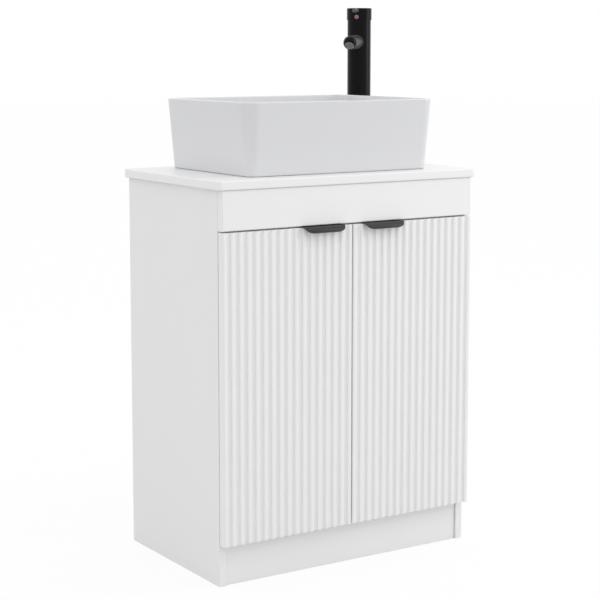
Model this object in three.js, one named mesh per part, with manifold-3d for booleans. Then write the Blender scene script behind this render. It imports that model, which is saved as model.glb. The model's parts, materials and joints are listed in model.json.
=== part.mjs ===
// A floor-standing bathroom vanity: a white cabinet with two fluted doors on concealed hinges,
// a worktop, a tapered vessel basin with its click waste, and a tall cylindrical mixer tap.
// Millimetres, +Z up, the front faces -Y. The origin is on the floor, at the middle of the outer box.

import * as THREE from 'three';
import { mergeVertices } from 'three/addons/utils/BufferGeometryUtils.js';
import Module from 'manifold-3d';

// ---------------------------------------------------------------- driving sizes

const SEAT = 0.25;              // clearance left between parts that rest on or in each other
const SEAL_INSET = 1;           // a seal's edge inside the flange that covers it
const NUT_FLANGE = 3;           // thickness of a nut's round flange
const NUT_STEP = 2;             // from the flange's edge to the corners of the flats
const ROUND = 32;               // sides of a large round
const MIDDLE_ROUND = 24;
const SMALL_ROUND = 16;
const HOLE_ROUND = 8;

// Carcass. Y = 0 is the front edge of the side panels while the cabinet is laid out.
const CABINET_WIDTH = 600;
const CARCASS_DEPTH = 366;
const CARCASS_HEIGHT = 778;
const BOARD = 16;
const BACK_BOARD = 6;
const BACK_REBATE = 8;          // how far the back panel reaches into each side panel
const BOARD_EASE = 0.6;         // chamfer along a board's edges
const PLINTH_HEIGHT = 78;
const PLINTH_RECESS = 4;
const PLINTH_END_GAP = 0.75;
const FRONT_RAIL_HEIGHT = 110;
const BACK_RAIL_HEIGHT = 80;
const BACK_RAIL_DROP = 75;      // top of the back rail below the top of the carcass
const SERVICE_WIDTH = 300;
const SERVICE_HEIGHT = 200;
const SERVICE_CORNER = 20;
const SERVICE_DROP = 18;        // top of the service opening below the back rail
const WALL_SCREW_HOLE = 3;      // radius
const WALL_SCREW_INSET = 60;
const SHELF_HEIGHT = 372;
const SHELF_DEPTH = 290;
const SHELF_SETBACK = 24;
const SHELF_END_GAP = 0.75;
const SHELF_PIN_INSET = 45;     // from the shelf's front and back edges
const PIN_HOLE_PITCH = 32;
const PIN_HOLE_ROWS = 1;        // spare holes above and below the one in use
const PIN_RADIUS = 2.5;
const PIN_DEPTH = 9;
const PIN_COLLAR = 4;
const PIN_COLLAR_THICKNESS = 1.2;
const PIN_PEG = 8;

// Fronts.
const FRONT_BOARD = 18;
const FASCIA_HEIGHT = 78;
const FASCIA_GAP = 3;           // between the fascia and the doors
const DOOR_GAP = 2;             // behind the doors
const DOOR_REVEAL = 0.5;        // beside the doors, at the cabinet's sides
const DOOR_MEETING_GAP = 3;
const DOOR_BOTTOM_REVEAL = 6;   // door above the top of the plinth
const DOOR_EDGE_ROUND = 3;
const FLUTES = 16;
const RIB_WIDTH = 9;
const FLUTE_DEPTH = 3.4;        // straight flank of a flute
const RIB_CROWN = 1;
const FLUTE_SAG = 0.6;

// Edge-pull handles of bent sheet.
const HANDLE_LENGTH = 98;
const HANDLE_INSET = 21.5;      // from the door's meeting edge
const HANDLE_SHEET = 1.2;
const HANDLE_PROJECTION = 14.5;
const HANDLE_BEND = 12;
const HANDLE_CORNER = 18;
const HANDLE_LEG = 18;
const HANDLE_SCREW_PITCH = 64;
const HANDLE_SCREW = 1.5;       // radius
const HANDLE_SCREW_HEAD = 3;
const HANDLE_SCREW_LENGTH = 11;

// Concealed hinges.
const HINGE_INSET = 95;         // from the door's top and bottom edges
const CUP_RADIUS = 17.5;
const CUP_EDGE = 3;             // from the cup to the door's outer edge
const CUP_DEPTH = 11.5;
const CUP_WALL = 1;
const CUP_FLOOR = 0.7;
const CUP_FLANGE = 0.9;
const CUP_FLANGE_LENGTH = 54;
const CUP_FLANGE_WIDTH = 25;
const CUP_FLANGE_CORNER = 5;
const CUP_SCREW_INSET = 5;
const PIVOT_INSET = 7.3;        // from the door's outer edge
const PIVOT_DEPTH = 8;          // in from the door's rear face
const PIVOT_RADIUS = 1;
const PIVOT_CLEARANCE = 0.3;
const EYE_RADIUS = 2.1;
const EYE_LENGTH = 9;
const NECK = 3.2;               // thickness of the arm's neck
const ARM_THICKNESS = 3;
const ARM_OFFSET = 11;          // from the pivot to the arm's outer face
const ARM_REACH = 56;           // back from the carcass's front edge
const ARM_WIDTH = 15;
const ADJUSTER_SHARES = [0.3, 0.75]; // adjusting screws along the arm's wide part
const PLATE_SETBACK = 27;
const PLATE_DEPTH = 24;
const PLATE_HEIGHT = 50;
const PLATE_SCREW_PITCH = 32;
const PLATE_SCREW_HOLE = 2.5;
const PLATE_CORNER = 6;
const PLATE_EASE = 0.3;

// Door bumpers.
const BUMPER_RADIUS = 4;
const BUMPER_HEIGHT = 1.5;
const BUMPER_INSET = 9;
const BUMPER_EASE = 0.8;

// Worktop.
const WORKTOP_SIDE_OVERHANG = 10;
const WORKTOP_THICKNESS = 18;
const WORKTOP_FRONT_OVERHANG = 2;
const WORKTOP_BACK_OVERHANG = 6;
const WORKTOP_CORNER = 10;
const WORKTOP_EDGE = 2.5;

// Vessel basin.
const BASIN_LENGTH = 458;
const BASIN_DEPTH = 341;
const BASIN_HEIGHT = 145;
const BASIN_TAPER = 12.5;       // how far each side leans in from rim to foot
const BASIN_CORNER = 32;
const BASIN_WALL = 10;
const BASIN_RIM_ROUND = 3;
const BASIN_FOOT_ROUND = 3;
const BASIN_FLOOR = 15;         // thickness beside the drain
const BASIN_FALL = 5;           // the bowl's floor rises this much to its edge
const BASIN_COVE = 34;          // radius between floor and wall
const BASIN_BACK_MARGIN = 17;   // rim in front of the worktop's back edge
const BASIN_TAP_GAP = 3;        // between the rim's end and the tap's body
const BASIN_UNDERCUT = 4;       // hollow of the underside, inside the foot
const BASIN_FOOT_WIDTH = 22;
const CORNER_STEPS = 7;

// Click waste.
const WASTE_FLANGE = 32;
const WASTE_FLANGE_THICKNESS = 2.5;
const WASTE_FLANGE_EASE = 1.2;
const WASTE_MOUTH = 3;          // bevel at the mouth of the bore
const WASTE_TUBE = 20;
const WASTE_BORE = 17;
const WASTE_LENGTH = 72;
const WASTE_HOLE_CLEARANCE = 2;
const WASTE_SEAL = 2;
const WASTE_HUB = 7;
const WASTE_HUB_HEIGHT = 10;
const WASTE_HUB_DROP = 14;
const WASTE_SPOKE = 3;
const WASTE_NUT = 30;
const WASTE_NUT_HEIGHT = 9;
const PLUG_RADIUS = 30;
const PLUG_EDGE = 2.5;
const PLUG_DOME = 3.5;
const PLUG_STEM = 4;
const PLUG_STEM_LENGTH = 30;

// Tall mixer tap. Its own frame: spout towards -Y, Z = 0 on the worktop.
const TAP_NUT_SIDE_GAP = 2;     // between the backnut and the side panel
const TAP_NUT_BACK_GAP = 3;     // between the backnut and the back panel
const TAP_TURN = 47;            // degrees, spout turned from the front towards the basin
const TAP_RADIUS = 26;
const TAP_HEIGHT = 336;
const TAP_SEAL = 1.5;
const TAP_CHAMFER = 1;
const SHANK_RADIUS = 16;
const SHANK_BORE = 12;          // the hoses' way in
const SHANK_LENGTH = 46;
const TAP_WALL = 4;
const TAP_HOLE_CLEARANCE = 1.5;
const TAP_NUT = 20;
const TAP_NUT_HEIGHT = 10;
const TAP_WASHER = 2;
const CAP_RADIUS = 27.5;
const CAP_HEIGHT = 26;
const CAP_EDGE = 1;
const CAP_SKIRT = 1.1;          // wall of the cap's skirt
const CAP_HOLLOW = 12;
const CAP_OVERLAP = 0.5;        // how far the body's shoulder stands inside the skirt
const TILT_DROP = 4;            // tilt axis below the cap's lower edge
const NECK_RADIUS = 20;
const NECK_HEIGHT = 3.5;        // above the body's shoulder
const CARTRIDGE_RADIUS = 17.5;
const CARTRIDGE_DEPTH = 34;
const CARTRIDGE_RISE = 1.5;     // above the neck
const CARTRIDGE_EASE = 0.5;
const TURRET_RADIUS = 12;
const TURRET_DEPTH = 12;
const TURRET_RISE = 0.5;
const LEVER_RADIUS = 3.5;
const LEVER_EASE = 1;
const LEVER_TAIL = 6;           // below the tilt axis
const LEVER_SOCKET = 9;
const LEVER_SLOT = 6.5;         // half the length of the turret's slot
const SPOUT_RADIUS = 15;
const SPOUT_REACH = 93;         // tap axis to the middle of the rounded end
const SPOUT_DROP = 73;          // its axis below the cap's top, where it meets the tap's
const SPOUT_FALL = 2;           // degrees
const OUTLET_ANGLE = 36;        // degrees below the level that the outlet faces
const AERATOR_RADIUS = 10;
const AERATOR_LENGTH = 5;
const AERATOR_RECESS = 0.5;
const PIN_LEVER_RADIUS = 4.75;
const PIN_LEVER_REACH = 54;
const PIN_LEVER_ROOT = 14;
const PIN_LEVER_DROP = 5.6;     // its axis below the cap's top
const PIN_LEVER_EASE = 0.6;
const MARK_RADIUS = 4.7;
const MARK_THICKNESS = 0.5;
const MARK_DROP = 19.3;         // its middle below the cap's top
const MARK_SPLIT = 0.3;

// ---------------------------------------------------------------- sizes that follow

const FLOOR = 0;
const HALF_WIDTH = CABINET_WIDTH / 2;
const INNER_X = HALF_WIDTH - BOARD;
const BASE_TOP = PLINTH_HEIGHT + BOARD;
const BACK_FACE = CARCASS_DEPTH - BACK_BOARD;
const BACK_RAIL_TOP = CARCASS_HEIGHT - BACK_RAIL_DROP;
const BACK_RAIL_BOTTOM = BACK_RAIL_TOP - BACK_RAIL_HEIGHT;

const FASCIA_BOTTOM = CARCASS_HEIGHT - FASCIA_HEIGHT;
const DOOR_TOP = FASCIA_BOTTOM - FASCIA_GAP;
const DOOR_BOTTOM = PLINTH_HEIGHT + DOOR_BOTTOM_REVEAL;
const DOOR_HEIGHT = DOOR_TOP - DOOR_BOTTOM;
const DOOR_WIDTH = HALF_WIDTH - DOOR_REVEAL - DOOR_MEETING_GAP / 2;
const DOOR_OUTER_X = HALF_WIDTH - DOOR_REVEAL;
const DOOR_REAR = -DOOR_GAP;
const DOOR_FACE = DOOR_REAR - FRONT_BOARD;
const HINGE_HEIGHTS = { lower: DOOR_BOTTOM + HINGE_INSET, upper: DOOR_TOP - HINGE_INSET };
const PIVOT_X = DOOR_OUTER_X - PIVOT_INSET;
const PIVOT_Y = DOOR_REAR - PIVOT_DEPTH;
const CUP_X = DOOR_OUTER_X - CUP_EDGE - CUP_RADIUS;

const HANDLE_TOP = DOOR_TOP + SEAT + HANDLE_SHEET;
const HANDLE_FRONT = DOOR_FACE - HANDLE_PROJECTION;
const HANDLE_REAR = DOOR_REAR + SEAT + HANDLE_SHEET;
const HANDLE_X = DOOR_MEETING_GAP / 2 + HANDLE_INSET + HANDLE_LENGTH / 2;
const HANDLE_SCREW_Z = DOOR_TOP - HANDLE_LEG / 2;

const WORKTOP_BOTTOM = CARCASS_HEIGHT + SEAT;
const WORKTOP_TOP = WORKTOP_BOTTOM + WORKTOP_THICKNESS;
const WORKTOP_FRONT = DOOR_FACE - WORKTOP_FRONT_OVERHANG;
const WORKTOP_BACK = CARCASS_DEPTH + WORKTOP_BACK_OVERHANG;
const WORKTOP_WIDTH = CABINET_WIDTH + 2 * WORKTOP_SIDE_OVERHANG;
const WORKTOP_DEPTH = WORKTOP_BACK - WORKTOP_FRONT;
const WORKTOP_MIDDLE = (WORKTOP_BACK + WORKTOP_FRONT) / 2;

// The tap stands in the back right corner, with room under the worktop for its backnut. The basin's
// rim ends beside it.
const TAP_X = INNER_X - TAP_NUT_SIDE_GAP - TAP_NUT;
const TAP_Y = BACK_FACE - TAP_NUT_BACK_GAP - TAP_NUT;
const BASIN_X = TAP_X - TAP_RADIUS - BASIN_TAP_GAP - BASIN_LENGTH / 2;
const BASIN_Y = WORKTOP_BACK - BASIN_BACK_MARGIN - BASIN_DEPTH / 2;
const BASIN_SEAT = WORKTOP_TOP + SEAT;
const WASTE_HOLE = WASTE_TUBE + WASTE_HOLE_CLEARANCE;
const WASTE_TOP = BASIN_FLOOR;  // the waste's flange lies flush in the bowl's floor
const DRAIN_RECESS = WASTE_FLANGE_THICKNESS + WASTE_SEAL + 2 * SEAT;

const TAP_HOLE = SHANK_RADIUS + TAP_HOLE_CLEARANCE;
const TAP_FOOT = TAP_SEAL + 2 * SEAT;
const SPOUT_HEIGHT = TAP_HEIGHT - SPOUT_DROP;
const CAP_BOTTOM = TAP_HEIGHT - CAP_HEIGHT;
const CAP_INNER = CAP_RADIUS - CAP_SKIRT;
const TILT_Z = CAP_BOTTOM - TILT_DROP;
const SHOULDER = CAP_BOTTOM + CAP_OVERLAP;
const NECK_TOP = SHOULDER + NECK_HEIGHT;
const CARTRIDGE_TOP = NECK_TOP + CARTRIDGE_RISE;
const CARTRIDGE_BOTTOM = CARTRIDGE_TOP - CARTRIDGE_DEPTH;
const TURRET_TOP = CARTRIDGE_TOP + TURRET_RISE;
const TURRET_BOTTOM = TURRET_TOP - TURRET_DEPTH - LEVER_TAIL;
const CAP_CEILING = CAP_BOTTOM + CAP_HOLLOW;

// The outer box runs from the handles' lips to the worktop's back edge.
const MIDDLE_Y = (Math.min(HANDLE_FRONT, WORKTOP_FRONT) + WORKTOP_BACK) / 2;

// ---------------------------------------------------------------- materials

const finish = (color, roughness, metalness = 0) =>
  new THREE.MeshStandardMaterial({ color, roughness, metalness });

const whiteBoard = finish(0xf2f2f1, 0.55);
const whiteLacquer = finish(0xf6f6f5, 0.4);
const solidSurface = finish(0xf8f8f7, 0.3);
const ceramic = finish(0xeff1f3, 0.12);
const blackMetal = finish(0x1d1d1f, 0.42, 0.6);
const satinSteel = finish(0xb9bbbd, 0.32, 1);
const chrome = finish(0xd5d7d9, 0.12, 1);
const rubber = finish(0x2a2a2b, 0.85);
const clearSilicone = finish(0xdfe3e4, 0.3);
const greyPlastic = finish(0x8d9092, 0.5);
const hotRed = finish(0xb3262b, 0.3);
const coldBlue = finish(0x2a4fa8, 0.3);

// ---------------------------------------------------------------- working with solids

const wasm = await Module();
wasm.setup();

// Welds a closed geometry's vertices and drops the slivers that a pole or a seam leaves.
function welded(geometry) {
  const bare = geometry.clone();
  bare.deleteAttribute('normal');
  bare.deleteAttribute('uv');
  const merged = mergeVertices(bare, 1e-4);
  const corners = merged.index.array;
  const kept = [];
  for (let i = 0; i < corners.length; i += 3) {
    const [a, b, c] = [corners[i], corners[i + 1], corners[i + 2]];
    if (a !== b && b !== c && c !== a) kept.push(a, b, c);
  }
  merged.setIndex(kept);
  return merged;
}

function toSolid(geometry) {
  const closed = welded(geometry);
  return new wasm.Manifold(new wasm.Mesh({
    numProp: 3,
    vertProperties: Float32Array.from(closed.attributes.position.array),
    triVerts: Uint32Array.from(closed.index.array),
  }));
}

function toGeometry(solid) {
  const mesh = solid.getMesh();
  const geometry = new THREE.BufferGeometry();
  geometry.setAttribute('position', new THREE.BufferAttribute(mesh.vertProperties, 3));
  geometry.setIndex(new THREE.BufferAttribute(mesh.triVerts, 1));
  geometry.computeVertexNormals();
  return geometry;
}

const cut = (body, ...tools) =>
  toGeometry(tools.reduce((solid, tool) => solid.subtract(toSolid(tool)), toSolid(body)));
const join = (body, ...others) =>
  toGeometry(others.reduce((solid, other) => solid.add(toSolid(other)), toSolid(body)));
const common = (body, other) => toGeometry(toSolid(body).intersect(toSolid(other)));

// The same geometry reflected in the plane X = 0, with its faces still pointing out.
function mirrored(geometry) {
  const copy = welded(geometry);
  copy.scale(-1, 1, 1);
  const corners = Array.from(copy.index.array);
  for (let i = 0; i < corners.length; i += 3) {
    [corners[i + 1], corners[i + 2]] = [corners[i + 2], corners[i + 1]];
  }
  copy.setIndex(corners);
  return copy;
}

// A geometry drawn for the right-hand side of the cabinet, for either side.
const handed = (geometry, side) => (side === 'right' ? geometry : mirrored(geometry));
const sideSign = (side) => (side === 'right' ? 1 : -1);

// ---------------------------------------------------------------- shapes

const degrees = THREE.MathUtils.degToRad;
const X_AXIS = new THREE.Vector3(1, 0, 0);
const Y_AXIS = new THREE.Vector3(0, 1, 0);
const Z_AXIS = new THREE.Vector3(0, 0, 1);

// An outline in the plane of two axes, pushed along the third and centred on it.
function prism(shape, length, axis = 'z', curveSegments = 8) {
  const geometry = new THREE.ExtrudeGeometry(shape, { depth: length, bevelEnabled: false, curveSegments });
  return turned(geometry.translate(0, 0, -length / 2), axis);
}

// Turns a geometry made along Z so that it runs along another axis.
// Along X its outline's first two axes become Y and Z, along Y they become X and Z.
function turned(geometry, axis) {
  if (axis === 'x') geometry.applyMatrix4(new THREE.Matrix4().makeBasis(Y_AXIS, Z_AXIS, X_AXIS));
  if (axis === 'y') geometry.rotateX(Math.PI / 2);
  return geometry;
}

function rectangle(width, height, radius = 0) {
  const shape = new THREE.Shape();
  const [x, y] = [width / 2 - radius, height / 2 - radius];
  if (radius === 0) {
    shape.moveTo(-x, -y).lineTo(x, -y).lineTo(x, y).lineTo(-x, y).closePath();
    return shape;
  }
  shape.absarc(x, -y, radius, -Math.PI / 2, 0);
  shape.absarc(x, y, radius, 0, Math.PI / 2);
  shape.absarc(-x, y, radius, Math.PI / 2, Math.PI);
  shape.absarc(-x, -y, radius, Math.PI, 1.5 * Math.PI);
  shape.closePath();
  return shape;
}

// A flat slab with the edges of its two broad faces eased, centred on the origin.
function slab(width, height, thickness, axis, ease, radius = 0, cornerSteps = 3, easeSteps = 1) {
  const geometry = new THREE.ExtrudeGeometry(rectangle(width, height, radius), {
    depth: thickness - 2 * ease,
    bevelEnabled: true,
    bevelSize: ease,
    bevelOffset: -ease,
    bevelThickness: ease,
    bevelSegments: easeSteps,
    curveSegments: cornerSteps,
  });
  return turned(geometry.translate(0, 0, -(thickness - 2 * ease) / 2), axis);
}

// A board between two corners, thin along the axis named.
function board(low, high, thinAxis) {
  const size = high.map((value, i) => value - low[i]);
  const middle = high.map((value, i) => (value + low[i]) / 2);
  const [a, b, thickness] = {
    x: [size[1], size[2], size[0]],
    y: [size[0], size[2], size[1]],
    z: [size[0], size[1], size[2]],
  }[thinAxis];
  return slab(a, b, thickness, thinAxis, BOARD_EASE).translate(...middle);
}

function box(low, high) {
  const size = high.map((value, i) => value - low[i]);
  return new THREE.BoxGeometry(...size).translate(...high.map((value, i) => (value + low[i]) / 2));
}

// A cylinder along an axis, centred on the origin.
function rod(radius, length, axis = 'z', sides = SMALL_ROUND) {
  const geometry = new THREE.CylinderGeometry(radius, radius, length, sides);
  return turned(geometry.rotateX(Math.PI / 2), axis);
}

// A profile of [radius, height] points, turned about Z. It starts and ends on the axis, or closes on
// itself, and runs so that the solid lies on its left: up the outside and back down the inside.
function revolve(profile, sides = ROUND) {
  const points = profile.map(([radius, height]) => new THREE.Vector2(radius, height));
  return new THREE.LatheGeometry(points, sides).rotateX(Math.PI / 2);
}

function ring(inner, outer, bottom, top, sides = MIDDLE_ROUND) {
  return revolve([[inner, bottom], [outer, bottom], [outer, top], [inner, top], [inner, bottom]], sides);
}

// Points of a circular arc in [a, b] form, from one angle to another in degrees.
function arc(centreA, centreB, radius, from, to, steps) {
  return Array.from({ length: steps + 1 }, (_, i) => {
    const angle = degrees(from + ((to - from) * i) / steps);
    return [centreA + radius * Math.cos(angle), centreB + radius * Math.sin(angle)];
  });
}

function outline(points) {
  return new THREE.Shape(points.map(([a, b]) => new THREE.Vector2(a, b)));
}

// A level rounded rectangle, corner by corner, anticlockwise seen from above.
function levelRing(halfX, halfY, radius, height) {
  const corners = [[1, 1, 0], [-1, 1, 90], [-1, -1, 180], [1, -1, 270]];
  return corners.flatMap(([signX, signY, start]) =>
    arc(signX * (halfX - radius), signY * (halfY - radius), radius, start, start + 90, CORNER_STEPS)
      .map(([x, y]) => [x, y, height]));
}

// Joins rings of equal length, one to the next and the last to the first, into one closed skin.
function loft(rings) {
  const count = rings[0].length;
  const corners = [];
  rings.forEach((_, i) => {
    const next = (i + 1) % rings.length;
    for (let k = 0; k < count; k += 1) {
      const after = (k + 1) % count;
      const [a, b] = [i * count + k, i * count + after];
      const [c, d] = [next * count + after, next * count + k];
      corners.push(a, b, c, a, c, d);
    }
  });
  const geometry = new THREE.BufferGeometry();
  geometry.setAttribute('position', new THREE.Float32BufferAttribute(rings.flat(2), 3));
  geometry.setIndex(corners);
  return welded(geometry);
}

function piece(name, geometry, material, x = 0, y = 0, z = 0) {
  const mesh = new THREE.Mesh(geometry, material);
  mesh.name = name;
  mesh.position.set(x, y, z);
  return mesh;
}

function assembly(...parts) {
  const group = new THREE.Group();
  group.add(...parts.flat());
  return group;
}

// ---------------------------------------------------------------- carcass

const SHELF_PIN_Z = SHELF_HEIGHT - SEAT - PIN_RADIUS;
const SHELF_PIN_YS = {
  front: SHELF_SETBACK + SHELF_PIN_INSET,
  back: SHELF_SETBACK + SHELF_DEPTH - SHELF_PIN_INSET,
};

// A side panel stands on the floor, rebated for the back panel and drilled for the shelf pins.
function sidePanel(side) {
  const panel = board([0, 0, FLOOR], [BOARD, CARCASS_DEPTH, CARCASS_HEIGHT], 'x');
  const rebate = box([-1, BACK_FACE - SEAT, -1], [BACK_REBATE, CARCASS_DEPTH + 1, CARCASS_HEIGHT + 1]);
  const holeDepth = PIN_DEPTH + SEAT;
  const holes = [];
  for (const y of Object.values(SHELF_PIN_YS)) {
    for (let row = -PIN_HOLE_ROWS; row <= PIN_HOLE_ROWS; row += 1) {
      const hole = rod(PIN_RADIUS + SEAT, holeDepth + 1, 'x', HOLE_ROUND);
      holes.push(hole.translate((holeDepth - 1) / 2, y, SHELF_PIN_Z + row * PIN_HOLE_PITCH));
    }
  }
  const geometry = handed(cut(panel, rebate, ...holes), side);
  return piece(`side_panel_${side}`, geometry, whiteBoard, sideSign(side) * INNER_X, 0, 0);
}

function carcassBoards() {
  const reach = INNER_X - SEAT;
  const base = board([-reach, 0, PLINTH_HEIGHT], [reach, BACK_FACE - SEAT, BASE_TOP], 'z');
  const plinthReach = INNER_X - PLINTH_END_GAP;
  const plinth = board(
    [-plinthReach, PLINTH_RECESS, FLOOR],
    [plinthReach, PLINTH_RECESS + BOARD, PLINTH_HEIGHT - SEAT],
    'y',
  );
  const frontRail = board(
    [-reach, 0, CARCASS_HEIGHT - FRONT_RAIL_HEIGHT],
    [reach, BOARD, CARCASS_HEIGHT],
    'y',
  );
  const fascia = board(
    [-DOOR_OUTER_X, -SEAT - FRONT_BOARD, FASCIA_BOTTOM],
    [DOOR_OUTER_X, -SEAT, CARCASS_HEIGHT],
    'y',
  );
  return [
    piece('base_panel', base, whiteBoard),
    piece('plinth_board', plinth, whiteBoard),
    piece('front_rail', frontRail, whiteBoard),
    backRail(),
    backPanel(),
    piece('fascia_board', fascia, whiteLacquer),
  ];
}

// The rail that is screwed to the wall, kept below the tap's shank.
function backRail() {
  const reach = INNER_X - SEAT;
  const rail = board(
    [-reach, BACK_FACE - SEAT - BOARD, BACK_RAIL_BOTTOM],
    [reach, BACK_FACE - SEAT, BACK_RAIL_TOP],
    'y',
  );
  return piece('back_rail', cut(rail, ...wallScrewTools()), whiteBoard);
}

// The holes for the wall screws, through the back rail and the back panel.
const wallScrewTools = () => [-1, 1].map((sign) =>
  rod(WALL_SCREW_HOLE, 4 * BOARD, 'y', HOLE_ROUND).translate(
    sign * (INNER_X - WALL_SCREW_INSET),
    BACK_FACE,
    (BACK_RAIL_BOTTOM + BACK_RAIL_TOP) / 2,
  ));

function backPanel() {
  const reach = INNER_X + BACK_REBATE - SEAT;
  const panel = board([-reach, BACK_FACE, PLINTH_HEIGHT], [reach, CARCASS_DEPTH, CARCASS_HEIGHT], 'y');
  const top = BACK_RAIL_BOTTOM - SERVICE_DROP;
  const opening = prism(rectangle(SERVICE_WIDTH, SERVICE_HEIGHT, SERVICE_CORNER), 4 * BACK_BOARD, 'y', 5);
  opening.translate(0, BACK_FACE, top - SERVICE_HEIGHT / 2);
  return piece('back_panel', cut(panel, opening, ...wallScrewTools()), whiteBoard);
}

function shelf() {
  const reach = INNER_X - SHELF_END_GAP;
  const geometry = board(
    [-reach, SHELF_SETBACK, SHELF_HEIGHT],
    [reach, SHELF_SETBACK + SHELF_DEPTH, SHELF_HEIGHT + BOARD],
    'z',
  );
  return piece('shelf', geometry, whiteBoard);
}

// A shelf pin: a shank in the side panel's hole, a collar against the panel and a peg under the shelf.
function shelfPin(side, end) {
  const collarEnd = SEAT + PIN_COLLAR_THICKNESS;
  const shank = rod(PIN_RADIUS, PIN_DEPTH + SEAT, 'x', HOLE_ROUND).translate((PIN_DEPTH - SEAT) / 2, 0, 0);
  const collar = rod(PIN_COLLAR, PIN_COLLAR_THICKNESS, 'x')
    .translate(-SEAT - PIN_COLLAR_THICKNESS / 2, 0, PIN_RADIUS - PIN_COLLAR);
  const pegLength = PIN_PEG + PIN_COLLAR_THICKNESS;
  const peg = rod(PIN_RADIUS, pegLength, 'x', HOLE_ROUND)
    .translate(-collarEnd - PIN_PEG + pegLength / 2, 0, 0);
  const geometry = handed(join(shank, collar, peg), side);
  const x = sideSign(side) * INNER_X;
  return piece(`shelf_pin_${side}_${end}`, geometry, satinSteel, x, SHELF_PIN_YS[end], SHELF_PIN_Z);
}

function carcass() {
  const sides = ['left', 'right'];
  const pins = sides.flatMap((side) => Object.keys(SHELF_PIN_YS).map((end) => shelfPin(side, end)));
  return assembly(sides.map(sidePanel), carcassBoards(), shelf(), pins);
}

// ---------------------------------------------------------------- doors

// The door's section seen from above, as the right-hand door: X = 0 is its hinged edge, X = -DOOR_WIDTH
// its meeting edge, Y = 0 its rear face. Ribs and flutes alternate, with a rib along each edge.
function doorSection() {
  const fluteWidth = (DOOR_WIDTH - (FLUTES + 1) * RIB_WIDTH) / FLUTES;
  const pitch = fluteWidth + RIB_WIDTH;
  const face = -FRONT_BOARD;
  const bulge = (from, to, y, height, steps) => Array.from({ length: steps + 1 }, (_, i) => {
    const along = (2 * i) / steps - 1;
    return [from + ((to - from) * i) / steps, y - height * (1 - along * along)];
  });
  const points = [];
  for (let rib = 0; rib <= FLUTES; rib += 1) {
    const start = -DOOR_WIDTH + rib * pitch;
    const end = start + RIB_WIDTH;
    const crown = bulge(start, end, face + RIB_CROWN, RIB_CROWN, 4);
    if (rib === 0) {
      const edge = arc(start + DOOR_EDGE_ROUND, face + DOOR_EDGE_ROUND, DOOR_EDGE_ROUND, 180, 270, 4);
      points.push(...edge, crown.at(-1));
    } else if (rib === FLUTES) {
      const edge = arc(end - DOOR_EDGE_ROUND, face + DOOR_EDGE_ROUND, DOOR_EDGE_ROUND, 270, 360, 4);
      points.push(crown[0], ...edge);
    } else {
      points.push(...crown);
    }
    if (rib < FLUTES) {
      const floor = face + RIB_CROWN + FLUTE_DEPTH - FLUTE_SAG;
      points.push(...bulge(end, start + pitch, floor, -FLUTE_SAG, 3));
    }
  }
  const rearCorner = arc(-DOOR_EDGE_ROUND, -DOOR_EDGE_ROUND, DOOR_EDGE_ROUND, 0, 90, 5);
  return outline([...points, ...rearCorner, [-DOOR_WIDTH, 0]]);
}

function doorPanel(side) {
  const blank = prism(doorSection(), DOOR_HEIGHT).translate(0, 0, DOOR_HEIGHT / 2);
  const boreDepth = CUP_DEPTH + SEAT;
  const bores = Object.values(HINGE_HEIGHTS).map((height) =>
    rod(CUP_RADIUS + SEAT, boreDepth + 1, 'y', MIDDLE_ROUND).translate(
      CUP_X - DOOR_OUTER_X,
      -(boreDepth - 1) / 2,
      height - DOOR_BOTTOM,
    ));
  const pilots = handleScrewXs().map((x) =>
    rod(HANDLE_SCREW + SEAT, HANDLE_SCREW_LENGTH + 2, 'y', HOLE_ROUND).translate(
      x - DOOR_OUTER_X,
      -(HANDLE_SCREW_LENGTH + SEAT) / 2,
      HANDLE_SCREW_Z - DOOR_BOTTOM,
    ));
  const geometry = handed(cut(blank, ...bores, ...pilots), side);
  const x = sideSign(side) * DOOR_OUTER_X;
  return piece(`door_${side}`, geometry, whiteLacquer, x, DOOR_REAR, DOOR_BOTTOM);
}

const handleScrewXs = () => [-1, 1].map((sign) => HANDLE_X + (sign * HANDLE_SCREW_PITCH) / 2);

// The pull's bent sheet: a leg behind the door, a flange over its top edge and a curved lip in front,
// trimmed in plan to rounded front corners and drilled for its countersunk screws.
function handle(side) {
  const bendY = HANDLE_FRONT + HANDLE_BEND;
  const bendZ = HANDLE_TOP - HANDLE_BEND;
  const sheet = outline([
    [HANDLE_REAR, HANDLE_TOP - HANDLE_LEG],
    [HANDLE_REAR, HANDLE_TOP],
    ...arc(bendY, bendZ, HANDLE_BEND, 90, 180, 8),
    ...arc(bendY, bendZ, HANDLE_BEND - HANDLE_SHEET, 180, 90, 8),
    [HANDLE_REAR - HANDLE_SHEET, HANDLE_TOP - HANDLE_SHEET],
    [HANDLE_REAR - HANDLE_SHEET, HANDLE_TOP - HANDLE_LEG],
  ]);
  const bent = prism(sheet, HANDLE_LENGTH, 'x').translate(HANDLE_X, 0, 0);
  const [low, high] = [-HANDLE_LENGTH / 2, HANDLE_LENGTH / 2];
  const plan = outline([
    ...arc(low + HANDLE_CORNER, HANDLE_FRONT + HANDLE_CORNER, HANDLE_CORNER, 180, 270, 8),
    ...arc(high - HANDLE_CORNER, HANDLE_FRONT + HANDLE_CORNER, HANDLE_CORNER, 270, 360, 8),
    [high, HANDLE_REAR + 1],
    [low, HANDLE_REAR + 1],
  ]);
  const trim = prism(plan, 4 * HANDLE_LEG).translate(HANDLE_X, 0, HANDLE_TOP);
  const countersinks = handleScrewXs().map((x) =>
    handleScrewTool(SEAT).translate(x, HANDLE_REAR, HANDLE_SCREW_Z));
  const geometry = cut(common(bent, trim), ...countersinks);
  return piece(`handle_${side}`, handed(geometry, side), blackMetal);
}

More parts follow.
